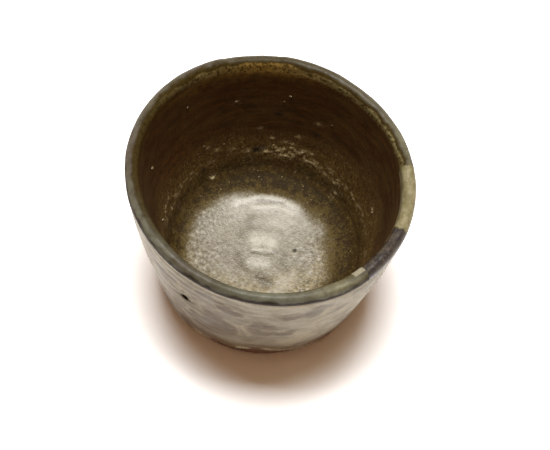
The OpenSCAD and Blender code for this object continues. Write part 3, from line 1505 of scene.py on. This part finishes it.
@dataclass
class PaleCoat(CupPiece):
    """The pale glaze on the outside, from its wandering foot to the iron and the fills."""

    columns: int = 520
    rows: int = 150
    under_rows: int = 12
    shoulder: float = 4.0
    turns: Pair = (0.9, 0.5)
    bead: Triple = (0.22, 1.4, 1.1)
    lobes: tuple[WallMark, ...] = wall_marks(
        (274, 32.7, 6.0, 1.0, 0.85), (244, 24.4, 6.0, 1.0, 0.8), (253, 28.2, 5.0, 1.0, 0.9),
        (285, 28.5, 4.2, 0.9, 0.85), (252, 48.4, 2.3, 0.9, 1.6), (257, 46.0, 2.3, 0.9, 1.6),
        (261, 43.3, 2.3, 0.9, 1.6), (285, 44.8, 2.7, 0.9, 1.5), (294, 46.3, 4.0, 0.8, 1.0),
        (304, 42.3, 4.0, 0.6, 0.9), (228, 44.0, 3.6, 0.7, 1.2))
    pin_tail: WallMark = WallMark(241.5, 36.3, 0.5, 0.55, 5.0)
    node: ClassVar[Node] = Node.OUTER_GLAZE
    slot: ClassVar[Slot] = Slot.PALE_GLAZE
    name: ClassVar[str] = "pale_coat"

    def weave(self) -> Weave:
        """Weaves the coat as a closed ring with a rounded foot.

        Returns:
            The coat's mesh.
        """
        edges = self.edges
        theta = edges.ring(self.columns, *edges.mended)
        foot, top = edges.glaze_foot(theta), edges.outer_top(theta)
        way = (foot, self.surface.section.start(Stretch.LIP) - self.shoulder, top)
        over = paced(np.linspace(0, 1, self.rows)[:, None], self.turns[0], *way)
        under = paced(np.linspace(1, 0, self.under_rows)[:, None], self.turns[1], *way)
        at = self.surface.places(theta, np.vstack([over, under]))
        near = np.clip(at.s - foot, 0.0, 1.0)
        thick, above, width = self.bead
        lift = edges.coat * np.sqrt(near * (2 - near)) + thick * hump(at.s - foot - above, width)
        lift[self.rows:] = 0.0
        return Weave.grid(self.surface.points(at, lift), self._masks(at, foot, top),
                          loop_rows=True, loop_columns=True)

    def _masks(self, at: Places, foot: Array, top: Array) -> dict[str, Array]:
        """Masks for the finish.

        Args:
            at: Places of the grid.
            foot: Lower edge of the coat.
            top: Upper edge of the coat.

        Returns:
            Masks by name.
        """
        swayed = replace(at, theta=at.theta + 3.2 * at.lumps(7.0), z=at.z + 2.2 * at.lumps(6.0))
        lobe = np.max([mark.nearness(swayed) for mark in self.lobes], axis=0)
        front = at.around((1, 265, 48))
        blot = (at.lumps(11.0, (1.4, 1.4, 0.8), 31.0) + 0.6 * at.lumps(5.0, (1.4, 1.4, 0.7), 31.0))
        lobe = np.maximum(lobe, (1 - front) * (0.2 + 0.75 * blot))
        lobe = lobe + 0.20 * at.lumps(3.4) + 0.10 * at.lumps(1.5)
        # dim: painted shade over the front, which faces away from the lamp, fading towards the lip
        aside = turned(at.theta, 250)
        dim = hump(aside, np.where(aside < 0, 30.0, 38.0))
        above, below = at.s - foot, top - at.s
        # low: browner towards the foot, partly painted shade, reaching higher at the left front
        low = at.z + 2.5 * at.lumps(8.0) - at.around((8.0, 232, 18))
        cream = 1 - rise(below + 0.4 * at.lumps(3.0), 0.5, 2.0)
        pin = sum(mark.nearness(at) / mark.strength for mark in self.surface.marks.pinholes)
        return {
            "dim": dim * (1 - 0.65 * rise(at.z + 2.0 * at.lumps(9.0), 42.0, 55.0)),
            "lilac": rise(lobe, 0.2, 0.62) * (0.5 + 0.5 * front),
            "ridge": hump(lobe - 0.22, 0.08) * rise(at.lumps(6.0), -0.45, 0.2),
            "low": 1 - rise(low, 4.0, 27.0),
            "thin": 1 - rise(above + 1.6 * at.lumps(3.0), 0.4, 7.5),
            "cream": cream * (1 - at.around((0.4, 262, 26))),
            "bead": hump(above - 1.9 + 0.5 * at.lumps(2.5), 0.8) * rise(at.lumps(4.0), -0.4, 0.2),
            "brim": 1 - rise(below + 0.2 * at.lumps(1.5), 0.1, 1.1),
            "pin": np.clip(1.9 * pin ** 0.7 + self.pin_tail.nearness(at), 0, 1)}


@dataclass
class BrownLining(CupPiece):
    """The brown glaze inside, from the iron down over the corner to the navel."""

    columns: int = 480
    rows: int = 182
    under_rows: int = 14
    pole_gap: float = 0.25
    shoulder: float = 5.0
    turns: Pair = (0.06, 0.2)
    film_middle: Pair = (-1.5, 0.5)
    film_before: Pair = (24.4, 26.0)
    film_after: Pair = (23.0, 19.8)
    film_power: float = 2.4
    ink: tuple[WallMark, ...] = wall_marks(
        (90, 35.4, 0.7, 0.95, 2.0), (101, 19.7, 1.1, 0.95, 1.5), (135, 17.9, 1.0, 0.7),
        (97, 20.6, 0.8, 0.8), (68, 31.0, 0.5, 0.8, 1.8), (120, 40.0, 0.5, 0.7, 1.6))
    # pale: mostly painted highlights and sheen (the navel's lit top, the line above the slit, crest
    # arcs, a broad sheen at the back, small glints), and a few pale patches
    pale: tuple[FloorMark, ...] = floor_marks(
        (-2.4, 3.4, 1.6, 3.4, 2.3, 1.3), (-3.0, -4.2, 0.8, -4.4, 1.6, 0.7),
        (-3.1, 0.2, 2.4, 0.5, 0.5, 0.7), (-10.5, 15.6, -2.3, 19.2, 0.7, 0.9),
        (-2.3, 19.2, 4.4, 18.6, 0.7, 1.2), (4.4, 18.6, 9.0, 16.2, 0.7, 0.9),
        (1.5, 9.5, 6.5, 10.5, 2.4, 0.25), (-5.0, 14.9, 3.0, 16.3, 0.6, 0.6),
        (3.0, 16.3, 7.5, 14.0, 0.6, 0.5), (-9.0, 15.5, 7.0, 15.5, 4.5, 0.5),
        (-13.0, 8.0, 12.0, 9.0, 5.0, 0.15), (5.1, -12.1, 9.0, -8.0, 2.2, 0.42),
        (-4.5, -4.3, -4.4, -4.3, 0.45, 1.0), (-19.9, 10.7, -19.8, 10.7, 0.5, 1.0),
        (-10.2, 14.9, -10.1, 14.9, 0.5, 0.9), (-20.1, -6.4, -20.0, -6.4, 0.45, 1.0),
        (9.6, -0.6, 9.7, -0.6, 0.4, 0.8))
    gold: tuple[FloorMark, ...] = floor_marks(
        (5.5, -11.5, 10.5, -7.8, 3.0, 0.9), (-14, -15, 16, -15, 5.0, 0.9),
        (17, -9, 19.5, 2, 3.5, 0.7), (-22, -6, -20, -12, 4.0, 0.5))
    dull: tuple[FloorMark, ...] = floor_marks(
        (-4.6, 11.6, -7.6, 4.6, 1.5, 0.5), (-8.0, -2.4, -6.4, -5.4, 1.6, 0.55),
        (-6.4, -5.4, -4.0, -7.6, 1.3, 0.35), (-0.6, -8.6, 2.4, -10.6, 1.9, 1.0),
        (6.0, -2.6, 7.6, -5.4, 1.5, 0.55), (-5.5, 7.4, 1.5, 7.8, 0.8, 0.35),
        (-3.6, 17.4, 4.0, 17.4, 0.5, 0.6), (-20.0, -9.0, -8.0, -17.0, 2.2, 0.35))
    node: ClassVar[Node] = Node.INNER_GLAZE
    slot: ClassVar[Slot] = Slot.BROWN_GLAZE
    name: ClassVar[str] = "brown_lining"

    def weave(self) -> Weave:
        """Weaves the lining as a closed skin, under side first.

        Returns:
            The lining's mesh.
        """
        section, edges = self.surface.section, self.edges
        theta = edges.ring(self.columns, edges.mended[1], edges.spot[0])
        top = edges.inner_top(theta)
        way = (top, section.start(Stretch.INSIDE) + self.shoulder, section.end - self.pole_gap)
        over = paced(np.linspace(0, 1, self.rows)[:, None], self.turns[0], *way)
        under = paced(np.linspace(1, 0, self.under_rows)[:, None], self.turns[1], *way)
        at = self.surface.places(theta, np.vstack([under, over]))
        lift = np.where(np.arange(len(at.s))[:, None] < self.under_rows, 0.0, edges.coat)
        masks = {**self._wall_masks(at, top), **self._floor_masks(at)}
        masks = {name: np.clip(mask, 0.0, 1.0) for name, mask in masks.items()}
        return Weave.grid(self.surface.points(at, lift), masks, loop_columns=True, poles=True)

    def _wall_masks(self, at: Places, top: Array) -> dict[str, Array]:
        """Masks for the finish of the wall.

        Args:
            at: Places of the grid.
            top: Upper edge of the lining.

        Returns:
            Masks by name.
        """
        marks = self.surface.marks
        ochre = 1 - rise(at.s - top + 1.6 * at.lumps(6.0) + 0.7 * at.lumps(2.0), -0.5, 4.5)
        gritty = at.z + 3.0 * at.lumps(11.0) - at.around((6.0, 22, 22))
        glints = wall_marks(*((angle, z, 1.3, 0.8 * strength, 1.3)
                              for angle, z, strength in marks.glints))
        return {
            "ochre": ochre * (0.06 + at.around((0.85, 98, 24), (0.5, 138, 14))),
            "gritty": 1 - rise(gritty, 21.0, 33.0),
            "rust": (at.around((1, 160, 28)) * hump(at.z - 27, 11)
                     + at.around((0.4, 95, 36)) * hump(at.z - 47, 6)),
            # painted highlights on the ledge's crests, and painted sparkle round them
            "painted_glints": marks.sparks(at),
            "painted_sparkle": at.marked(glints)}

    def _floor_masks(self, at: Places) -> dict[str, Array]:
        """Masks for the finish of the floor and the corner.

        Args:
            at: Places of the grid.

        Returns:
            Masks by name.
        """
        low = 1 - rise(at.z + 0.8 * at.lumps(4.0), 11.5, 18.0)
        gap = at.points[..., :2] - np.array(self.film_middle)
        gap = np.abs(gap) / np.where(gap < 0, self.film_before, self.film_after)
        across = (gap ** self.film_power).sum(axis=-1) ** (1 / self.film_power)
        soft = 0.30 + at.around((-0.14, 92, 40), (0.08, 15, 35))
        film = 1 - rise(across + 0.05 * at.lumps(4.0), 1 - soft, 1 + 0.7 * soft)
        worn = across - at.around((0.3, 90, 50)) + 0.1 * at.lumps(6.0)
        dent = np.max([mark.nearness(at) for mark in self.surface.marks.dents], axis=0)
        return {
            "corner": 1 - rise(at.z + 1.6 * at.lumps(5.0), 11.0, 22.0),
            # painted shade high in the corner, where it turns up towards the lamp
            "painted_corner_shade": hump(at.z - 12.8, 3.6) * (1 - at.around((0.5, 25, 35), (0.4, 135, 24))),
            "moss": low * (1 - rise(across + 0.10 * at.lumps(3.0), 0.95, 1.2)),
            "film": low * film,
            "worn": 0.33 + 0.55 * rise(worn, 0.25, 0.9),
            # painted highlights and sheen on the floor, with a few pale patches
            "pale": low * at.marked(self.pale),
            "gold": low * at.marked(self.gold),
            "dull": low * at.marked(self.dull),
            "ink": at.marked(self.ink) + low * 2.2 * dent}


@dataclass
class IronBand(CupPiece):
    """The iron-painted coat over the lip, broken where the lip is mended."""

    columns: int = 520
    rows: int = 44
    band_out: float = 0.6
    band_width: float = 0.6
    node: ClassVar[Node] = Node.IRON_LIP
    slot: ClassVar[Slot] = Slot.IRON_GLAZE
    name: ClassVar[str] = "iron_band"

    def weave(self) -> Weave:
        """Weaves the band as an open ring with capped ends.

        Returns:
            The band's mesh.
        """
        edges, step = self.edges, self.edges.spot[0]
        first, last = edges.mended[1] - 360.0, edges.mended[0]
        theta = edges.columns(np.linspace(first, last, self.columns), step)
        foot = edges.iron_foot(theta)
        stop = np.where(theta >= step, edges.section.lip_top, edges.iron_inner(theta))
        over = foot + (stop - foot) * np.linspace(0, 1, self.rows)[:, None]
        at = self.surface.places(theta, np.vstack([over, over[::-1]]))
        lift = np.where(np.arange(len(at.s))[:, None] < self.rows, edges.coat, 0.0)
        return Weave.grid(self.surface.points(at, lift), self._masks(at, foot), loop_rows=True)

    def _masks(self, at: Places, foot: Array) -> dict[str, Array]:
        """Masks for the finish.

        Args:
            at: Places of the grid.
            foot: Outer edge of the band.

        Returns:
            Masks by name.
        """
        over = at.s - self.edges.section.lip_top + 0.35 * at.lumps(3.0) + 0.15 * at.lumps(1.0)
        wide, back = at.around((1, 268, 48)), at.around((1, 98, 24))
        edge = 1 - rise(at.s - foot + 0.3 * at.lumps(1.5), 0.9, 1.7)
        shift = np.clip(at.around((0.85, 55, 30)) + 0.6 * back, 0, 0.85)
        outer = over + self.band_out
        # painted highlight: a grey-green band along the rounded lip, moved inwards at the right
        # back and back, wide at the front
        moved = (0.85 - 0.3 * back) * hump(outer - shift, self.band_width)
        band = np.maximum(hump(outer, self.band_width), moved)
        band = np.maximum(band * (1 - 0.3 * back), wide * (1 - 0.5 * rise(over, 0.3, 1.6)))
        crested = back + at.around((0.85, 26, 34), (0.2, 138, 15), (0.7, 122, 12), (0.6, 60, 24))
        start = 0.4 + 0.15 * back + at.around((0.9, 50, 28), (0.6, 80, 14), (0.7, 130, 20))
        fade = 1 - 0.75 * (1 - back) * rise(over, start + 1.3, start + 2.4)
        masks = {
            "edge": edge,
            "band": band * (1 - at.around((0.4, 256, 10))) * (1 - edge),
            "down": rise(over, 0.9, 2.2),
            "inner": np.clip(0.08 + crested, 0, 1) * rise(over, start, start + 0.45) * fade,
            "amber": at.around((1, 100, 26)),
            # plum, green and worn tint the painted highlight; worn is where it is palest, at the
            # front right and right
            "plum": at.around((1, 178, 20), (1, 128, 9), (0.8, 240, 10)),
            "green": 0.15 + at.around((1, 252, 62), (0.5, 18, 18)),
            "worn": at.around((1, 302, 9), (0.65, 14, 15))}
        return {name: np.clip(mask, 0, 1) for name, mask in masks.items()}


@dataclass
class LipFill(CupPiece):
    """A fill that makes up a stretch of the chipped lip."""

    columns: int = 110
    rows: int = 40
    proud: float = 0.03
    arc: ClassVar[Pair]

    def _begin(self, theta: Array) -> Array:
        """Outer edge of the fill."""
        return self.edges.chip_outer(theta)

    def _seat(self, theta: Array, first: Array, last: Array) -> Array:
        """Middle line of the fill's seat, between its first and its last row."""
        return (first + last) / 2

    def weave(self) -> Weave:
        """Weaves the fill's rounded top and its seat in the chip.

        Returns:
            The fill's mesh.
        """
        theta = np.linspace(*self.arc, self.columns)[None, :]
        stop = self.edges.chip_inner(theta)
        at, top = self._rounded(theta, self._begin(theta), stop, self.proud)
        first, last = top[:1], top[-1:]
        back = np.linspace(0, 1, self.rows)[:, None, None]
        return self._closed(at, top, paced(back, 0.5, last, self._seat(theta, first, last), first))

    def _rounded(self, theta: Array, begin: Array, stop: Array,
                 proud: float) -> tuple[Places, Array]:
        """Rounded top between two edges.

        Args:
            theta: Angles, as one row.
            begin: Outer edge.
            stop: Inner edge.
            proud: How far the top stands above the coats.

        Returns:
            Places of the top, and its points.
        """
        share = np.linspace(0, 1, self.rows)[:, None]
        at = self.surface.places(theta, begin + (stop - begin) * share)
        rough = 0.05 * at.lumps(2.4) + 0.02 * at.lumps(0.8)
        lift = self.edges.coat + (proud + rough) * np.sin(np.pi * share) ** 0.5
        return at, self.surface.points(at, lift)

    @staticmethod
    def _closed(at: Places, top: Array, seat: Array) -> Weave:
        """Closes a top with its seat, and masks the rim.

        Args:
            at: Places of the top.
            top: Points of the top.
            seat: Points of the seat, from the inner edge back to the outer one.

        Returns:
            The closed mesh.
        """
        theta, s = at.theta, at.s
        ends = np.minimum(theta - theta[:, :1], theta[:, -1:] - theta) * 0.7
        sides = np.minimum(s - s[:1], s[-1:] - s)
        rim = 1 - rise(np.minimum(ends, sides), 0.05, 0.7)
        masks = {"rim": np.vstack([rim, rim[::-1]])}
        return Weave.grid(np.vstack([top, seat]), masks, loop_rows=True)


@dataclass
class KhakiFill(LipFill):
    """The khaki fill, with a thin strip that runs on along the dark fill's inner edge."""

    strip_width: float = 0.9
    strip_tip: float = 0.02
    strip_gap: float = 0.15
    strip_proud: float = 0.07
    strip_sunk: float = 0.05
    node: ClassVar[Node] = Node.PALE_FILL
    slot: ClassVar[Slot] = Slot.PALE_FILLER
    name: ClassVar[str] = "khaki_fill"
    arc: ClassVar[Pair] = (340.0, 371.0)
    strip_arc: ClassVar[Pair] = (324.0, 340.2)

    def weave(self) -> Weave:
        """Weaves the fill and its strip."""
        return super().weave().joined(self._strip())

    def _strip(self) -> Weave:
        """Weaves the strip, which tapers to a tip.

        Returns:
            The strip's mesh.
        """
        edges, (first, last) = self.edges, self.strip_arc
        theta = np.linspace(first, last, self.columns)[None, :]
        taper = np.sqrt((theta - first) / (last - first))
        uneven = 0.75 + edges.wander(theta, (0.35, 500, 2.5))
        stop = edges.chip_inner(theta) - self.strip_gap
        begin = stop - (self.strip_width * taper * uneven + self.strip_tip)
        at, top = self._rounded(theta, begin, stop, self.proud + self.strip_proud)
        seat = self.surface.places(theta, at.s[::-1])
        return self._closed(at, top, self.surface.points(seat, edges.coat - self.strip_sunk))


@dataclass
class LacquerFill(LipFill):
    """The purple-brown fill."""

    node: ClassVar[Node] = Node.DARK_FILL
    slot: ClassVar[Slot] = Slot.DARK_LACQUER
    name: ClassVar[str] = "lacquer_fill"
    arc: ClassVar[Pair] = (315.0, 340.0)


@dataclass
class SpotPutty(LipFill):
    """The small pale fill in the inner half of the lip."""

    columns: int = 40
    node: ClassVar[Node] = Node.SPOT_FILL
    slot: ClassVar[Slot] = Slot.PALE_FILLER
    name: ClassVar[str] = "spot_putty"
    arc: ClassVar[Pair] = (310.0, 315.0)

    def _begin(self, theta: Array) -> Array:
        """Outer edge of the fill, along the top of the lip."""
        return np.full_like(theta, self.edges.section.lip_top)

    def _seat(self, theta: Array, first: Array, last: Array) -> Array:
        """Inner corner of the chip that the fill sits in."""
        middle = np.full_like(theta, self.edges.section.lip_r)
        return self.surface.throw.bend(theta, middle, self.edges.chip_z(theta))


@dataclass
class StoneGrains(CupPiece):
    """White grains that burst through the inner glaze, each an uneven lump.

    Each row of grains is an angle, a share of the way up the wall, a size against a common grain
    and how fresh the stone is.
    """

    grain: float = 0.5
    under: float = 0.25
    low_z: float = 14.82
    high_z: float = 53.7
    rings: int = 11
    sides: int = 18
    cap: float = 0.12
    proud: float = 0.75
    least: float = 0.82
    uneven: float = 0.26
    lump_size: float = 0.8
    grains: tuple[tuple[float, ...], ...] = (
        (14, 0.32, 0.9, 0.6), (48, 0.11, 0.9, 0.4), (61, 0.61, 0.9, 0.0), (65, 0.11, 1.0, 0.6),
        (74, 0.18, 1.2, 0.9), (85, 0.75, 1.1, 0.45), (88, 0.68, 1.0, 0.4), (91, 0.18, 1.1, 0.9),
        (112, 0.68, 0.9, 0.05), (120, 0.25, 0.9, 0.3), (132, 0.32, 0.9, 0.6),
        (138, 0.82, 1.0, 0.0), (171, 0.68, 1.2, 0.6), (180, 0.18, 1.1, 0.6),
        (212, 0.25, 1.0, 0.4), (236, 0.68, 0.9, 0.1), (285, 0.61, 1.0, 0.1),
        (325, 0.46, 0.9, 0.3))
    node: ClassVar[Node] = Node.FELDSPAR_GRAINS
    slot: ClassVar[Slot] = Slot.FELDSPAR
    name: ClassVar[str] = "stone_grains"
    sharp: ClassVar[float] = 60.0

    def weave(self) -> Weave:
        """Weaves all the grains as loose lumps of one mesh."""
        return reduce(Weave.joined, (self._lump(i, *row) for i, row in enumerate(self.grains)))

    def _lump(self, number: int, angle: float, share: float, size: float, fresh: float) -> Weave:
        """Weaves one grain in its pocket.

        Args:
            number: Number of the grain, which sets its unevenness.
            angle: Angle of the grain.
            share: Place up the wall, from corner to lip.
            size: Size against a common grain.
            fresh: How fresh the stone is, from 0 to 1.

        Returns:
            The grain's mesh.
        """
        z = self.low_z + (self.high_z - self.low_z) * share
        radius = self.grain * size
        at = self.surface.places(np.array([angle]), self.surface.section.inside_at(np.array([z])))
        centre = self.surface.points(at, self.under + self.proud * radius)[0]
        polar = np.linspace(self.cap, math.pi - self.cap, self.rings)[:, None]
        turn = np.linspace(0, 2 * math.pi, self.sides, endpoint=False)[None, :]
        way = np.stack([np.sin(polar) * np.cos(turn), np.sin(polar) * np.sin(turn),
                        np.cos(polar) * np.ones_like(turn)], axis=-1)
        lumps = self.surface.noise.at(way + 10.0 * number, self.lump_size)
        uneven = self.least + self.uneven * lumps
        squat = np.array([1.0, 1.0, 0.55 + 0.3 * (number % 3) / 2])
        return Weave.grid(centre + way * (radius * uneven)[..., None] * squat,
                          {"fresh": np.full(uneven.shape, fresh)}, loop_columns=True, poles=True)


def set_down(name: str, data: bpy.types.ID, place: Vector,
             axes: tuple[Vector, Vector, Vector]) -> bpy.types.Object:
    """Links a lamp or camera to the scene.

    Args:
        name: Name of the object.
        data: The lamp or camera.
        place: Its place in metres.
        axes: Its right, upper and rear side.

    Returns:
        The object.
    """
    made = bpy.data.objects.new(name, data)
    made.matrix_world = Matrix.Translation(place) @ Matrix(axes).transposed().to_4x4()
    bpy.context.scene.collection.objects.link(made)
    return made


@dataclass(frozen=True)
class StudioLamp:
    """An oblong soft lamp aimed at the cup, with its long side along X."""

    name: str
    wide: float
    deep: float
    distance: float
    azimuth: float
    elevation: float
    radiance: float

    def hang(self) -> None:
        """Hangs the lamp, with its power set from its radiance."""
        lamp = bpy.data.lights.new(self.name, "AREA")
        lamp.shape, lamp.size, lamp.size_y = "RECTANGLE", self.wide, self.deep
        lamp.energy = self.radiance * math.pi * self.wide * self.deep
        turn, up = math.radians(self.azimuth), math.radians(self.elevation)
        way = Vector((math.cos(up) * math.cos(turn), math.cos(up) * math.sin(turn), math.sin(up)))
        across = (Vector((1, 0, 0)) - way * way.x).normalized()
        set_down(self.name, lamp, way * self.distance, (across, way.cross(across), way))


@dataclass(frozen=True)
class Studio:
    """Pale floor, soft light and the camera at the photograph's view."""

    dome_low: Tone = (0.075, 0.048, 0.028, 1.0)
    dome_high: Tone = (0.165, 0.092, 0.046, 1.0)
    dome_rise: Pair = (0.05, 0.75)
    seen_low: Tone = (1.0, 1.0, 1.0, 1.0)
    seen_high: Tone = (0.30, 0.31, 0.33, 1.0)
    seen_rise: Pair = (0.35, 0.7)
    floor_half: float = 0.8
    floor_z: float = -0.00005
    floor_seen: Tone = (1.90, 1.93, 1.96, 1.0)
    floor_lit: Tone = (0.94, 0.95, 0.96, 1.0)
    sensor: float = 36.0
    clip: Pair = (0.01, 50.0)
    focal_px: float = 1200.0
    frame_px: float = 550.0
    distance: float = 352.2
    elevation: float = 60.7
    roll: float = 6.32
    aside: float = 2.44
    above: float = -1.29
    target_z: float = 28.5
    key: StudioLamp = StudioLamp("overhead_key", 0.59, 0.40, 1.5, 107.5, 83.8, 26.4)

    def set_up(self) -> None:
        """Sets up the world, floor, lamp and camera."""
        bpy.context.scene.view_settings.view_transform = "Standard"
        self._light_dome()
        self._lay_floor()
        self.key.hang()
        self._place_camera()

    def _light_dome(self) -> None:
        """Makes the world a dim warm dome that looks white towards the horizon."""
        world = bpy.data.worlds.new("soft_dome")
        bpy.context.scene.world = world
        world.use_nodes = True
        bench = NodeBench(world.node_tree)
        split = bench.add("ShaderNodeSeparateXYZ")
        bench.feed(split, Vector=bench.add("ShaderNodeTexCoord").outputs["Generated"])
        either, output = bench.add("ShaderNodeMixShader"), bench.add("ShaderNodeOutputWorld")
        bench.feed(either, Fac=bench.seen())
        skies = ((self.dome_low, self.dome_high, self.dome_rise),
                 (self.seen_low, self.seen_high, self.seen_rise))
        for number, (low, high, between) in enumerate(skies, 1):
            height = bench.ramp(split.outputs["Z"], *between, curve=Curve.STRAIGHT)
            sky = bench.add("ShaderNodeBackground")
            bench.feed(sky, Color=bench.layers(low, (high, height)))
            bench.join(sky.outputs["Background"], either.inputs[number])
        bench.feed(output, Surface=either.outputs["Shader"])

    def _lay_floor(self) -> None:
        """Lays the pale floor just under the foot."""
        half, low = self.floor_half, self.floor_z
        mesh = bpy.data.meshes.new("pale_floor")
        mesh.from_pydata([(-half, -half, low), (half, -half, low), (half, half, low),
                          (-half, half, low)], [], [(0, 1, 2, 3)])
        material = bpy.data.materials.new("pale_paper")
        material.use_nodes = True
        bench = NodeBench(material.node_tree)
        paper, output = bench.add("ShaderNodeBsdfDiffuse"), bench.add("ShaderNodeOutputMaterial")
        bench.feed(paper, Color=bench.layers(self.floor_lit, (self.floor_seen, bench.seen())))
        bench.feed(output, Surface=paper.outputs["BSDF"])
        mesh.materials.append(material)
        floor = bpy.data.objects.new("pale_floor", mesh)
        bpy.context.scene.collection.objects.link(floor)

    def _place_camera(self) -> None:
        """Puts the camera where the photograph was taken from."""
        camera = bpy.data.cameras.new("photo_camera")
        camera.sensor_width = self.sensor
        camera.lens = self.focal_px / self.frame_px * self.sensor
        camera.clip_start, camera.clip_end = self.clip
        up, roll = math.radians(self.elevation), math.radians(self.roll)
        back = Vector((0, -math.cos(up), math.sin(up)))
        level, over = Vector((1, 0, 0)), Vector((0, math.sin(up), math.cos(up)))
        right = level * math.cos(roll) + over * math.sin(roll)
        top = over * math.cos(roll) - level * math.sin(roll)
        place = Vector((0, 0, self.target_z)) + right * self.aside + top * self.above \
            + back * self.distance
        stand = set_down("photo_camera", camera, place * MM, (right, top, back))
        bpy.context.scene.camera = stand


def main() -> None:
    """Builds the studio and every piece of the cup, and reports each one."""
    logging.basicConfig(level=logging.INFO, format="%(name)s: %(message)s")
    Studio().set_up()
    surface = ThrownSurface(ClaySection(), HandThrow(), ThrowingMarks())
    edges = LipEdges(surface)
    pale_putty = KhakiPutty(tone(180, 172, 146), tone(198, 191, 168), tone(128, 116, 90))
    pieces: tuple[CupPiece, ...] = (
        ThrownClay(surface, edges, BareClay()),
        PaleCoat(surface, edges, PaleGlaze()),
        BrownLining(surface, edges, BrownGlaze()),
        IronBand(surface, edges, IronGlaze()),
        KhakiFill(surface, edges, KhakiPutty()),
        LacquerFill(surface, edges, PlumLacquer()),
        SpotPutty(surface, edges, pale_putty),
        StoneGrains(surface, edges, FusedFeldspar()))
    for piece in pieces:
        piece.make()


if __name__ == "__main__":
    main()
